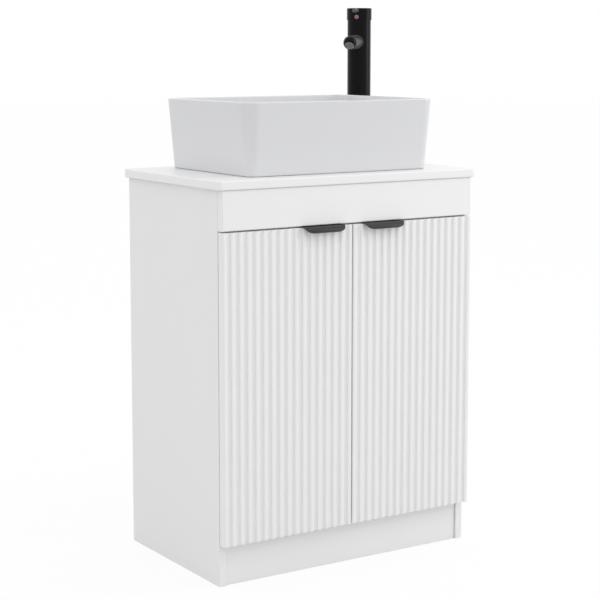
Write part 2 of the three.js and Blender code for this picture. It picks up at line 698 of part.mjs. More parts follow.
// A countersunk screw pointing forward, its head's face at Y = 0, or the larger tool that clears it.
function handleScrewTool(clearance = 0) {
  const head = HANDLE_SCREW_HEAD + clearance;
  const shank = HANDLE_SCREW + clearance;
  const profile = [
    [0, -HANDLE_SCREW_LENGTH],
    [shank, -HANDLE_SCREW_LENGTH + shank],
    [shank, shank - head],
    [head, 0],
    [head, clearance],
    [0, clearance],
  ];
  return revolve(profile, SMALL_ROUND).rotateX(-Math.PI / 2);
}

function handleScrews(side) {
  return handleScrewXs().map((x, i) => {
    const place = sideSign(side) * x;
    const end = i === 0 ? 'inner' : 'outer';
    return piece(
      `handle_${side}_screw_${end}`, handleScrewTool(), blackMetal, place, HANDLE_REAR, HANDLE_SCREW_Z,
    );
  });
}

// Clear bumpers at the meeting edge's corners, between the door and the carcass.
function bumpers(side) {
  const heights = { lower: (DOOR_BOTTOM + BASE_TOP) / 2, upper: DOOR_TOP - BUMPER_INSET };
  const profile = [
    [0, 0],
    [BUMPER_RADIUS, 0],
    [BUMPER_RADIUS, BUMPER_HEIGHT - BUMPER_EASE],
    [BUMPER_RADIUS - BUMPER_EASE, BUMPER_HEIGHT],
    [0, BUMPER_HEIGHT],
  ];
  const x = sideSign(side) * (DOOR_MEETING_GAP / 2 + BUMPER_INSET);
  return Object.entries(heights).map(([end, z]) => {
    const geometry = revolve(profile, SMALL_ROUND).rotateX(-Math.PI / 2);
    return piece(`bumper_${side}_${end}`, geometry, clearSilicone, x, DOOR_REAR + SEAT, z);
  });
}

// ---------------------------------------------------------------- concealed hinges

// The cup: a round well in the door with a flange on its rear face and the pivot pin across it.
// Its frame has the cup's axis along Y, with Y = 0 on the door's rear face.
function hingeCup(side, end) {
  const well = rod(CUP_RADIUS, CUP_DEPTH, 'y', MIDDLE_ROUND).translate(0, SEAT - CUP_DEPTH / 2, 0);
  const flange = prism(rectangle(CUP_FLANGE_WIDTH, CUP_FLANGE_LENGTH, CUP_FLANGE_CORNER), CUP_FLANGE, 'y', 2);
  flange.translate(0, SEAT + CUP_FLANGE / 2, 0);
  const overRim = rod(CUP_RADIUS, CUP_FLANGE, 'y', MIDDLE_ROUND).translate(0, SEAT + CUP_FLANGE / 2, 0);
  const innerRadius = CUP_RADIUS - CUP_WALL;
  const hollowLength = CUP_DEPTH + 2 * CUP_FLANGE;
  const hollow = rod(innerRadius, hollowLength, 'y', MIDDLE_ROUND)
    .translate(0, SEAT + CUP_FLOOR - CUP_DEPTH + hollowLength / 2, 0);
  const screws = [-1, 1].map((sign) =>
    rod(PLATE_SCREW_HOLE, 4 * CUP_FLANGE, 'y', HOLE_ROUND)
      .translate(0, 0, sign * (CUP_FLANGE_LENGTH / 2 - CUP_SCREW_INSET)));
  const shell = cut(join(well, flange, overRim), hollow, ...screws);
  const pin = rod(PIVOT_RADIUS, 2 * CUP_RADIUS, 'z', HOLE_ROUND).translate(PIVOT_X - CUP_X, -PIVOT_DEPTH, 0);
  const geometry = handed(join(shell, common(pin, well)), side);
  const x = sideSign(side) * CUP_X;
  return piece(`hinge_cup_${side}_${end}`, geometry, satinSteel, x, DOOR_REAR, HINGE_HEIGHTS[end]);
}

// The arm: an eye round the pivot pin, a neck across the cup and a straight arm back into the cabinet.
// Its frame has the pivot at X = 0, Y = 0 for the right-hand door, so the neck runs towards -X.
function hingeArm(side, end) {
  const [near, far] = [-ARM_OFFSET, -ARM_OFFSET - ARM_THICKNESS];
  const reach = ARM_REACH - PIVOT_Y;
  const plan = outline([
    [0, -NECK / 2],
    [0, NECK / 2],
    [near, NECK / 2],
    [near, reach],
    [far, reach],
    [far, NECK / 2],
    ...arc(far + NECK / 2, 0, NECK / 2, 180, 270, 4),
  ]);
  const neck = prism(plan, EYE_LENGTH);
  const eye = rod(EYE_RADIUS, EYE_LENGTH, 'z', SMALL_ROUND);
  const wideFrom = -PIVOT_Y + BOARD / 2;
  const wide = slab(reach - wideFrom, ARM_WIDTH, ARM_THICKNESS, 'x', BOARD_EASE);
  wide.translate((near + far) / 2, (reach + wideFrom) / 2, 0);
  const bore = rod(PIVOT_RADIUS + PIVOT_CLEARANCE, 2 * EYE_LENGTH, 'z', HOLE_ROUND);
  const adjusters = ADJUSTER_SHARES.map((share) =>
    rod(PLATE_SCREW_HOLE, 3 * ARM_THICKNESS, 'x', HOLE_ROUND)
      .translate((near + far) / 2, wideFrom + (reach - wideFrom) * share, 0));
  const geometry = handed(cut(join(neck, eye, wide), bore, ...adjusters), side);
  const x = sideSign(side) * PIVOT_X;
  return piece(`hinge_arm_${side}_${end}`, geometry, satinSteel, x, PIVOT_Y, HINGE_HEIGHTS[end]);
}

// The mounting plate screwed to the side panel, under the arm.
function hingePlate(side, end) {
  const outerFace = INNER_X - SEAT;
  const innerFace = PIVOT_X - ARM_OFFSET + SEAT;
  const thickness = outerFace - innerFace;
  const wing = slab(PLATE_DEPTH, PLATE_HEIGHT, thickness, 'x', PLATE_EASE, PLATE_CORNER, 1);
  const holes = [-1, 1].map((sign) =>
    rod(PLATE_SCREW_HOLE, 3 * thickness, 'x', HOLE_ROUND).translate(0, 0, (sign * PLATE_SCREW_PITCH) / 2));
  const x = (sideSign(side) * (outerFace + innerFace)) / 2;
  const y = PLATE_SETBACK + PLATE_DEPTH / 2;
  return piece(`hinge_plate_${side}_${end}`, cut(wing, ...holes), satinSteel, x, y, HINGE_HEIGHTS[end]);
}

function door(side) {
  const ends = Object.keys(HINGE_HEIGHTS);
  return assembly(
    doorPanel(side),
    handle(side),
    handleScrews(side),
    bumpers(side),
    ends.map((end) => hingeCup(side, end)),
    ends.map((end) => hingeArm(side, end)),
    ends.map((end) => hingePlate(side, end)),
  );
}

// ---------------------------------------------------------------- worktop

function worktop() {
  const top = slab(WORKTOP_WIDTH, WORKTOP_DEPTH, WORKTOP_THICKNESS, 'z', WORKTOP_EDGE, WORKTOP_CORNER, 6, 2);
  const wasteHole = rod(WASTE_HOLE, 2 * WORKTOP_THICKNESS, 'z', ROUND);
  wasteHole.translate(BASIN_X, BASIN_Y - WORKTOP_MIDDLE, 0);
  const tapHole = rod(TAP_HOLE, 2 * WORKTOP_THICKNESS, 'z', ROUND);
  tapHole.translate(TAP_X, TAP_Y - WORKTOP_MIDDLE, 0);
  const z = WORKTOP_BOTTOM + WORKTOP_THICKNESS / 2;
  return piece('worktop', cut(top, wasteHole, tapHole), solidSurface, 0, WORKTOP_MIDDLE, z);
}

// ---------------------------------------------------------------- basin and waste

// The basin is one lofted skin: up the leaning outer wall, over the rim, down the bowl and its cove to
// the drain, through it, and out across the hollow underside to the foot.
function basin() {
  const [rimX, rimY] = [BASIN_LENGTH / 2, BASIN_DEPTH / 2];
  const lean = (height) => (BASIN_TAPER * (BASIN_HEIGHT - height)) / BASIN_HEIGHT;
  const inset = (amount, height, corner = 0) =>
    levelRing(rimX - amount, rimY - amount, Math.max(BASIN_CORNER - amount, corner), height);
  const round = (radius, height) => levelRing(radius, radius, radius, height);

  const foot = arc(0, BASIN_FOOT_ROUND, BASIN_FOOT_ROUND, 270, 180, 3)
    .map(([a, height]) => inset(lean(height) + BASIN_FOOT_ROUND + a, height));
  const rimMiddle = BASIN_HEIGHT - BASIN_RIM_ROUND;
  const rimOuter = arc(0, rimMiddle, BASIN_RIM_ROUND, 180, 90, 3)
    .map(([a, height]) => inset(BASIN_RIM_ROUND + a, height));
  const rimInner = arc(0, rimMiddle, BASIN_RIM_ROUND, 90, 0, 3)
    .map(([a, height]) => inset(BASIN_WALL - BASIN_RIM_ROUND + a, height));
  const floorEdge = BASIN_FLOOR + BASIN_FALL;
  const coveTop = floorEdge + BASIN_COVE;
  const coveStart = BASIN_WALL + lean(coveTop);
  const cove = arc(0, coveTop, BASIN_COVE, 180, 270, 5)
    .map(([a, height]) => inset(coveStart + BASIN_COVE + a, height, BASIN_COVE));
  const recess = WASTE_FLANGE + SEAT;
  const recessFloor = BASIN_FLOOR - DRAIN_RECESS;
  const footInner = lean(0) + BASIN_FOOT_WIDTH;

  return loft([
    ...foot,
    ...rimOuter,
    ...rimInner,
    ...cove,
    round(recess, BASIN_FLOOR),
    round(recess, recessFloor),
    round(WASTE_HOLE, recessFloor),
    round(WASTE_HOLE, BASIN_UNDERCUT),
    inset(footInner + BASIN_UNDERCUT, BASIN_UNDERCUT),
    inset(footInner, 0),
  ]);
}

// The waste hangs from its flange in the bowl's floor, and its backnut clamps it under the worktop.
function wasteBody() {
  const [top, bottom] = [WASTE_TOP, WASTE_TOP - WASTE_LENGTH];
  const tube = revolve([
    [WASTE_BORE, bottom],
    [WASTE_TUBE, bottom],
    [WASTE_TUBE, top - WASTE_FLANGE_THICKNESS],
    [WASTE_FLANGE, top - WASTE_FLANGE_THICKNESS],
    [WASTE_FLANGE, top - WASTE_FLANGE_EASE],
    [WASTE_FLANGE - WASTE_FLANGE_EASE, top],
    [WASTE_BORE + WASTE_MOUTH, top],
    [WASTE_BORE, top - WASTE_MOUTH],
    [WASTE_BORE, bottom],
  ], MIDDLE_ROUND);
  const hubMiddle = top - WASTE_HUB_DROP - WASTE_HUB_HEIGHT / 2;
  const hub = rod(WASTE_HUB, WASTE_HUB_HEIGHT).translate(0, 0, hubMiddle);
  const spokeReach = (WASTE_BORE + WASTE_TUBE) / 2;
  const spokes = [90, 210, 330].map((angle) =>
    box([0, -WASTE_SPOKE / 2, -WASTE_SPOKE], [spokeReach, WASTE_SPOKE / 2, WASTE_SPOKE])
      .rotateZ(degrees(angle))
      .translate(0, 0, hubMiddle));
  const guide = rod(PLUG_STEM + SEAT, 2 * WASTE_HUB_HEIGHT).translate(0, 0, hubMiddle);
  return cut(join(tube, hub, ...spokes), guide);
}

// The plug: a low domed cap over the flange, on a stem that slides in the hub.
function plug() {
  const seat = WASTE_TOP + SEAT;
  const edge = seat + PLUG_EDGE;
  const dome = [1, 0.75, 0.5, 0.25, 0]
    .map((share) => [PLUG_RADIUS * share, edge + PLUG_DOME * (1 - share ** 2)]);
  return revolve([
    [0, seat - PLUG_STEM_LENGTH],
    [PLUG_STEM, seat - PLUG_STEM_LENGTH],
    [PLUG_STEM, seat],
    [PLUG_RADIUS, seat],
    ...dome,
  ], MIDDLE_ROUND);
}

function basinAndWaste() {
  const sealTop = WASTE_TOP - WASTE_FLANGE_THICKNESS - SEAT;
  const underWorktop = WORKTOP_BOTTOM - SEAT - BASIN_SEAT;
  const washerBottom = underWorktop - WASTE_SEAL;
  const nutTop = washerBottom - SEAT;
  const inner = WASTE_TUBE + SEAT;
  const group = assembly(
    piece('basin', basin(), ceramic),
    piece('waste_body', wasteBody(), chrome),
    piece('waste_flange_seal', ring(inner, WASTE_FLANGE - SEAL_INSET, sealTop - WASTE_SEAL, sealTop), rubber),
    piece('waste_washer', ring(inner, WASTE_NUT, washerBottom, underWorktop), rubber),
    piece('waste_backnut', nut(inner, WASTE_NUT, nutTop - WASTE_NUT_HEIGHT, nutTop, 8), greyPlastic),
    piece('waste_plug', plug(), chrome),
  );
  group.position.set(BASIN_X, BASIN_Y, BASIN_SEAT);
  return group;
}

// A nut with flats and a round flange against the washer above it.
function nut(inner, radius, bottom, top, flats) {
  const body = rod(radius - NUT_STEP, top - bottom, 'z', flats).translate(0, 0, (top + bottom) / 2);
  const flange = rod(radius, NUT_FLANGE, 'z', MIDDLE_ROUND).translate(0, 0, top - NUT_FLANGE / 2);
  const bore = rod(inner, 3 * (top - bottom), 'z', MIDDLE_ROUND).translate(0, 0, (top + bottom) / 2);
  return cut(join(body, flange), bore);
}

// ---------------------------------------------------------------- tap

// The outlet's frame: its axis leaves the middle of the spout's rounded end.
function outletMatrix() {
  const fall = degrees(SPOUT_FALL);
  const [out, down] = [SPOUT_REACH * Math.cos(fall), SPOUT_REACH * Math.sin(fall)];
  const end = new THREE.Vector3(0, -out, SPOUT_HEIGHT - down);
  const face = new THREE.Matrix4().makeRotationX(Math.PI / 2 + degrees(OUTLET_ANGLE));
  return new THREE.Matrix4().makeTranslation(end).multiply(face);
}

// The flat of the outlet lies where the rounded end is wide enough for the aerator's lip.
const OUTLET_LIP = 1;
const OUTLET_DISTANCE = Math.sqrt(SPOUT_RADIUS ** 2 - (AERATOR_RADIUS + SEAT + OUTLET_LIP) ** 2);

function spout() {
  const profile = [
    [0, 0],
    [SPOUT_RADIUS, 0],
    ...arc(0, SPOUT_REACH, SPOUT_RADIUS, 0, 80, 7),
    [0, SPOUT_REACH + SPOUT_RADIUS],
  ];
  const tube = revolve(profile, MIDDLE_ROUND);
  tube.rotateX(Math.PI / 2 + degrees(SPOUT_FALL)).translate(0, 0, SPOUT_HEIGHT);
  return tube;
}

function tapBody() {
  const bottom = TAP_FOOT;
  const shankBottom = bottom - SHANK_LENGTH;
  const socket = CARTRIDGE_RADIUS + SEAT;
  const column = revolve([
    [0, shankBottom],
    [SHANK_RADIUS - TAP_CHAMFER, shankBottom],
    [SHANK_RADIUS, shankBottom + TAP_CHAMFER],
    [SHANK_RADIUS, bottom],
    [TAP_RADIUS - TAP_CHAMFER, bottom],
    [TAP_RADIUS, bottom + TAP_CHAMFER],
    [TAP_RADIUS, SHOULDER],
    [NECK_RADIUS, SHOULDER],
    [NECK_RADIUS, NECK_TOP],
    [socket, NECK_TOP],
    [socket, CARTRIDGE_BOTTOM - SEAT],
    [0, CARTRIDGE_BOTTOM - SEAT],
  ]);
  const beyond = rod(2 * SPOUT_RADIUS, SPOUT_RADIUS, 'z', HOLE_ROUND);
  beyond.translate(0, 0, OUTLET_DISTANCE + SPOUT_RADIUS / 2);
  const recessDepth = AERATOR_LENGTH + AERATOR_RECESS + SEAT;
  const recess = rod(AERATOR_RADIUS + SEAT, recessDepth + 1, 'z', MIDDLE_ROUND);
  recess.translate(0, 0, OUTLET_DISTANCE - (recessDepth - 1) / 2);
  const outlet = outletMatrix();
  const hollowTop = CARTRIDGE_BOTTOM - SEAT - TAP_WALL;
  const hollow = revolve([
    [0, shankBottom - 1],
    [SHANK_BORE, shankBottom - 1],
    [SHANK_BORE, bottom + TAP_WALL],
    [TAP_RADIUS - TAP_WALL, bottom + TAP_WALL],
    [TAP_RADIUS - TAP_WALL, hollowTop],
    [0, hollowTop],
  ], MIDDLE_ROUND);
  return cut(join(column, spout()), beyond.applyMatrix4(outlet), recess.applyMatrix4(outlet), hollow);
}

function aerator() {
  const disc = rod(AERATOR_RADIUS, AERATOR_LENGTH, 'z', MIDDLE_ROUND);
  disc.translate(0, 0, OUTLET_DISTANCE - AERATOR_RECESS - AERATOR_LENGTH / 2);
  return disc.applyMatrix4(outletMatrix());
}

// The cartridge's fixed housing, with a well in its top for the turret.
function cartridge() {
  const well = TURRET_RADIUS + SEAT;
  return revolve([
    [0, CARTRIDGE_BOTTOM],
    [CARTRIDGE_RADIUS, CARTRIDGE_BOTTOM],
    [CARTRIDGE_RADIUS, CARTRIDGE_TOP - CARTRIDGE_EASE],
    [CARTRIDGE_RADIUS - CARTRIDGE_EASE, CARTRIDGE_TOP],
    [well, CARTRIDGE_TOP],
    [well, TURRET_BOTTOM - SEAT],
    [0, TURRET_BOTTOM - SEAT],
  ], MIDDLE_ROUND);
}

// The turret turns with the handle for temperature, and its slot lets the lever tilt.
function turret() {
  const height = TURRET_TOP - TURRET_BOTTOM;
  const body = rod(TURRET_RADIUS, height, 'z', MIDDLE_ROUND);
  body.translate(0, 0, (TURRET_TOP + TURRET_BOTTOM) / 2);
  const slotBottom = TILT_Z - LEVER_TAIL - 2 * SEAT;
  const halfWidth = LEVER_RADIUS + SEAT;
  const slot = box([-halfWidth, -LEVER_SLOT, slotBottom], [halfWidth, LEVER_SLOT, TURRET_TOP + 1]);
  return cut(body, slot);
}

function cartridgeLever() {
  const [bottom, top] = [TILT_Z - LEVER_TAIL, CAP_CEILING + LEVER_SOCKET - SEAT];
  return revolve([
    [0, bottom],
    [LEVER_RADIUS - LEVER_EASE, bottom],
    [LEVER_RADIUS, bottom + LEVER_EASE],
    [LEVER_RADIUS, top - LEVER_EASE],
    [LEVER_RADIUS - LEVER_EASE, top],
    [0, top],
  ], SMALL_ROUND);
}

// The cap: a skirt over the body's shoulder, a socket for the lever and seats for the pin and marks.
function cap() {
  const shell = revolve([
    [LEVER_RADIUS + SEAT, CAP_CEILING],
    [CAP_INNER, CAP_CEILING],
    [CAP_INNER, CAP_BOTTOM],
    [CAP_RADIUS, CAP_BOTTOM],
    [CAP_RADIUS, TAP_HEIGHT - CAP_EDGE],
    [CAP_RADIUS - CAP_EDGE, TAP_HEIGHT],
    [0, TAP_HEIGHT],
    [0, CAP_CEILING + LEVER_SOCKET],
    [LEVER_RADIUS + SEAT, CAP_CEILING + LEVER_SOCKET],
    [LEVER_RADIUS + SEAT, CAP_CEILING],
  ]);
  const pinSeat = rod(PIN_LEVER_RADIUS + SEAT, CAP_RADIUS, 'y')
    .translate(0, -PIN_LEVER_ROOT + SEAT - CAP_RADIUS / 2, TAP_HEIGHT - PIN_LEVER_DROP);
  const markSeat = rod(MARK_RADIUS + SEAT / 2, CAP_RADIUS, 'y', MIDDLE_ROUND)
    .translate(0, markFace() - SEAT / 2 - CAP_RADIUS / 2, TAP_HEIGHT - MARK_DROP);
  return cut(shell, pinSeat, markSeat);
}

// The plane that the hot and cold marks are bedded on, inside the skirt's front.
const markFace = () => -(CAP_RADIUS - MARK_THICKNESS);

function pinLever() {
  const profile = [
    [0, PIN_LEVER_ROOT],
    [PIN_LEVER_RADIUS, PIN_LEVER_ROOT],
    [PIN_LEVER_RADIUS, PIN_LEVER_REACH - PIN_LEVER_EASE],
    [PIN_LEVER_RADIUS - PIN_LEVER_EASE, PIN_LEVER_REACH],
    [0, PIN_LEVER_REACH],
  ];
  return revolve(profile, SMALL_ROUND).rotateX(Math.PI / 2).translate(0, 0, TAP_HEIGHT - PIN_LEVER_DROP);
}

// Half of the round mark on the cap: hot on its left, cold on its right.
function mark(sign) {
  const from = sign > 0 ? -90 : 90;
  const half = outline(arc(0, 0, MARK_RADIUS, from, from + 180, 12));
  const disc = prism(half, MARK_THICKNESS, 'y');
  return disc.translate(
    (sign * MARK_SPLIT) / 2, markFace() - SEAT - MARK_THICKNESS / 2, TAP_HEIGHT - MARK_DROP,
  );
}

function tap() {
  const underWorktop = WORKTOP_BOTTOM - SEAT - WORKTOP_TOP;
  const washerBottom = underWorktop - TAP_WASHER;
  const nutTop = washerBottom - SEAT;
  const shankClear = SHANK_RADIUS + SEAT;
  const group = assembly(
    piece('tap_body', tapBody(), blackMetal),
    piece('tap_aerator', aerator(), satinSteel),
    piece('tap_base_seal', ring(shankClear, TAP_RADIUS - SEAL_INSET, SEAT, SEAT + TAP_SEAL), rubber),
    piece('tap_washer', ring(shankClear, TAP_NUT, washerBottom, underWorktop), rubber),
    piece('tap_backnut', nut(shankClear, TAP_NUT, nutTop - TAP_NUT_HEIGHT, nutTop, 6), satinSteel),
    piece('tap_cartridge', cartridge(), greyPlastic),
    piece('tap_turret', turret(), greyPlastic),
    piece('tap_cartridge_lever', cartridgeLever(), satinSteel),
    piece('tap_cap', cap(), blackMetal),
    piece('tap_pin_lever', pinLever(), blackMetal),
    piece('tap_mark_hot', mark(-1), hotRed),
    piece('tap_mark_cold', mark(1), coldBlue),
  );
  group.position.set(TAP_X, TAP_Y, WORKTOP_TOP);
  group.rotation.z = -degrees(TAP_TURN);
  return group;
}

// ---------------------------------------------------------------- the vanity

const vanity = assembly(carcass(), door('left'), door('right'), worktop(), basinAndWaste(), tap());
vanity.position.y = -MIDDLE_Y;

export default assembly(vanity);
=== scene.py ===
"""A bathroom vanity: fluted doors, a worktop, a vessel basin and a tall black mixer tap."""
import json
import math

import bmesh
import bpy
from mathutils import Matrix, Vector


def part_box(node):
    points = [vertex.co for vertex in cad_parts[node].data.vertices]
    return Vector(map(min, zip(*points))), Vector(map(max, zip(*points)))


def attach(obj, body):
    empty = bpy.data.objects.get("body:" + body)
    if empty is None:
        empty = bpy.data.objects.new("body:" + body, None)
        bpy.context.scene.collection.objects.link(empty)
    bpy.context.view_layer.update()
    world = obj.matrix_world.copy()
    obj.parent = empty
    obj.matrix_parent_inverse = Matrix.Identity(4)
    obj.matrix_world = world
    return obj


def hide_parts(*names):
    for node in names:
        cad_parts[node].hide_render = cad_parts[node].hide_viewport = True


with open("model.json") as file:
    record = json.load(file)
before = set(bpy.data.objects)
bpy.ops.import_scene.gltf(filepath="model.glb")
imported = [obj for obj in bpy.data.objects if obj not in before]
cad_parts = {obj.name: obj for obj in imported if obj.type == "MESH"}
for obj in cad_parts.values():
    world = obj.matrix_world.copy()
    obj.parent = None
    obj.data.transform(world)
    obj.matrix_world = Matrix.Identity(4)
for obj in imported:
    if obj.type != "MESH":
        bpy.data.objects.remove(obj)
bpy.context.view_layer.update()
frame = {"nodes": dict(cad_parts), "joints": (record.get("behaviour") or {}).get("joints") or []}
joints = {joint["name"]: joint for joint in frame["joints"]}

# Shapes are drawn in millimetres in the cabinet's own frame and become metres when a piece is made.
MM = 0.001
SEAT = 0.25  # clearance between parts that rest on or in each other
MERGE = 0.002  # points nearer than this are one
CLEAR = 5  # how far a cutting tool stands past what it cuts
SIDES = ("left", "right")
ENDS = ("lower", "upper")

TO_FRONT = Matrix.Rotation(math.radians(90), 4, "X")  # a drawing's x, y become x, z
TO_SIDE = Matrix(((0, 0, 1, 0), (1, 0, 0, 0), (0, 1, 0, 0), (0, 0, 0, 1)))  # x, y become y, z


def box(node):
    """A node's lowest and highest corners, in millimetres."""
    low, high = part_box(node)
    return low / MM, high / MM


def middle(node):
    low, high = box(node)
    return (low + high) / 2


def foot(node):
    """The middle of a node's underside."""
    low, high = box(node)
    return Vector(((low.x + high.x) / 2, (low.y + high.y) / 2, low.z))


def towards(side):
    return 1 if side == "right" else -1


# ---------------------------------------------------------------- drawing and shaping


class Pen:
    """Draws an outline on the drawing plane, vertex by vertex, with arcs swept by spin."""

    def __init__(self, x, y, ease=0):
        self.shape = bmesh.new()
        self.start = self.shape.verts.new((x, y, 0))
        self.tip = self.start
        self.eased = {}
        self.mark(ease)

    def mark(self, ease):
        """The corner at the pen's tip is to be rounded by this radius."""
        if ease:
            self.eased.setdefault(ease, []).append(self.tip)
        return self

    def to(self, x, y, ease=0):
        following = self.shape.verts.new((x, y, 0))
        self.shape.edges.new((self.tip, following))
        self.tip = following
        return self.mark(ease)

    def arc(self, x, y, angle, steps):
        """Sweeps the tip round (x, y), anticlockwise where the angle is positive."""
        swept = bmesh.ops.spin(
            self.shape, geom=[self.tip], cent=(x, y, 0), axis=(0, 0, 1),
            angle=math.radians(angle), steps=steps, use_duplicate=False,
        )
        self.tip = [made for made in swept["geom_last"] if isinstance(made, bmesh.types.BMVert)][0]
        return self

    def bow(self, x, y, rise, steps):
        """An arc to (x, y) that bulges by rise to the right of the way there."""
        start = self.tip.co.xy
        way = Vector((x, y)) - start
        radius = (way.length_squared / 4 + rise * rise) / (2 * rise)
        left = Vector((-way.y, way.x)).normalized()
        centre = start + way / 2 + left * (radius - rise)
        angle = 2 * math.degrees(math.asin(way.length / (2 * radius)))
        return self.arc(centre.x, centre.y, angle, steps)

    def wire(self, segments=4):
        """The outline left open, with its corners rounded."""
        for ease, corners in self.eased.items():
            bmesh.ops.bevel(
                self.shape, geom=corners, offset=ease, offset_type="OFFSET", affect="VERTICES",
                segments=segments, profile=0.5, material=-1, clamp_overlap=False,
            )
        return self.shape

    def loop(self, segments=4):
        """The outline closed, with its corners rounded."""
        self.shape.edges.new((self.tip, self.start))
        return self.wire(segments)

    def face(self):
        """The outline closed and filled."""
        shape = self.loop()
        bmesh.ops.contextual_create(shape, geom=shape.edges)
        return shape


def path(points):
    """A pen taken through points, each with an optional rounding radius."""
    pen = Pen(*points[0])
    for point in points[1:]:
        pen.to(*point)
    return pen


def moved(shape, *matrices):
    """The shape put through each matrix in turn."""
    for matrix in matrices:
        bmesh.ops.transform(shape, matrix=matrix, verts=shape.verts)
    return shape


def at(x, y, z):
    return Matrix.Translation((x, y, z))


def turned(degrees, axis):
    return Matrix.Rotation(math.radians(degrees), 4, axis)


def grown(shape, height):
    """A filled outline given a height, upwards from the drawing plane."""
    top = bmesh.ops.extrude_face_region(shape, geom=shape.faces)
    risen = [made for made in top["geom"] if isinstance(made, bmesh.types.BMVert)]
    bmesh.ops.translate(shape, verts=risen, vec=(0, 0, height))
    bmesh.ops.recalc_face_normals(shape, faces=shape.faces)
    return shape


def spun(profile, sides=48):
    """A drawn profile, its radius along x and its height along y, spun about the upright axis."""
    shape = moved(profile, TO_FRONT)
    bmesh.ops.spin(
        shape, geom=shape.verts[:] + shape.edges[:], cent=(0, 0, 0), axis=(0, 0, 1),
        angle=math.tau, steps=sides, use_merge=True, use_duplicate=False,
    )
    bmesh.ops.remove_doubles(shape, verts=shape.verts, dist=MERGE)
    bmesh.ops.recalc_face_normals(shape, faces=shape.faces)
    return shape


def lathed(points, sides=48):
    """A profile of radius and height points, each with an optional rounding, spun upright."""
    return spun(path(points).wire(), sides)


def rod(radius, low, high, sides=48):
    """A plain upright rod: a tool, a nut's flats, or a piece that others hide."""
    shape = bmesh.new()
    bmesh.ops.create_cone(
        shape, cap_ends=True, segments=sides, radius1=radius, radius2=radius, depth=high - low,
        matrix=at(0, 0, (low + high) / 2),
    )
    return shape


def block(low, high):
    shape = bmesh.new()
    low, high = Vector(low), Vector(high)
    size = Matrix.Diagonal((*(high - low), 1))
    bmesh.ops.create_cube(shape, size=1, matrix=at(*((low + high) / 2)) @ size)
    return shape


def bevelled(shape, chosen, width, segments=4):
    """The shape with the edges that the test chooses rounded."""
    edges = [edge for edge in shape.edges if chosen(edge)]
    bmesh.ops.bevel(
        shape, geom=edges, offset=width, offset_type="OFFSET", affect="EDGES",
        segments=segments, profile=0.5, material=-1, clamp_overlap=False,
    )
    return shape


def along(axis):
    """A test for edges that run along an axis."""
    return lambda edge: abs((edge.verts[0].co - edge.verts[1].co).normalized()[axis]) > 0.999


def level(*heights, axis=2):
    """A test for edges that lie at one of these heights."""
    def lies(edge):
        ends = [vertex.co[axis] for vertex in edge.verts]
        return any(all(abs(end - height) < MERGE / 2 for end in ends) for height in heights)
    return lies


def creased(degrees):
    """A test for edges where the surface turns by more than this."""
    limit = math.radians(degrees)
    return lambda edge: len(edge.link_faces) == 2 and edge.calc_face_angle() > limit


def loose(shape):
    """A temporary object for a Boolean."""
    mesh = bpy.data.meshes.new("workpiece")
    bmesh.ops.recalc_face_normals(shape, faces=shape.faces)
    shape.to_mesh(mesh)
    shape.free()
    part = bpy.data.objects.new("workpiece", mesh)
    bpy.context.scene.collection.objects.link(part)
    return part


def worked(shape, operation, tools):
    """The shape after a Boolean with each of the tools."""
    part = loose(shape)
    others = [loose(tool) for tool in tools]
    for other in others:
        step = part.modifiers.new("step", "BOOLEAN")
        step.operation = operation
        step.solver = "EXACT"
        step.object = other
    result = bmesh.new()
    result.from_object(part, bpy.context.evaluated_depsgraph_get())
    for used in [part, *others]:
        mesh = used.data
        bpy.data.objects.remove(used)
        bpy.data.meshes.remove(mesh)
    bmesh.ops.remove_doubles(result, verts=result.verts, dist=MERGE)
    bmesh.ops.dissolve_degenerate(result, edges=result.edges, dist=MERGE / 2)
    return result


def drilled(shape, *tools):
    return worked(shape, "DIFFERENCE", tools)


def welded(shape, *others):
    return worked(shape, "UNION", others)


def kept(shape, tool):
    return worked(shape, "INTERSECT", [tool])


def with_copies(shape, others):
    """The shape with the others added beside it, each a closed skin of its own."""
    for other in others:
        mesh = bpy.data.meshes.new("copy")
        other.to_mesh(mesh)
        other.free()
        shape.from_mesh(mesh)
        bpy.data.meshes.remove(mesh)
    return shape


# ---------------------------------------------------------------- finishes


class Value:
    """A shader socket in a Python sum: each sum adds its Math node."""

    def __init__(self, finish, socket):
        self.finish = finish
        self.socket = socket

    def maths(self, operation, first, second):
        return self.finish.node("ShaderNodeMath", {"operation": operation}, {0: first, 1: second})

    def __add__(self, other):
        return self.maths("ADD", self, other)

    def __sub__(self, other):
        return self.maths("SUBTRACT", self, other)

    def __rsub__(self, other):
        return self.maths("SUBTRACT", other, self)

    def __mul__(self, other):
        return self.maths("MULTIPLY", self, other)

    def __truediv__(self, other):
        return self.maths("DIVIDE", self, other)

    def __gt__(self, other):
        return self.maths("GREATER_THAN", self, other)

    __radd__ = __add__
    __rmul__ = __mul__


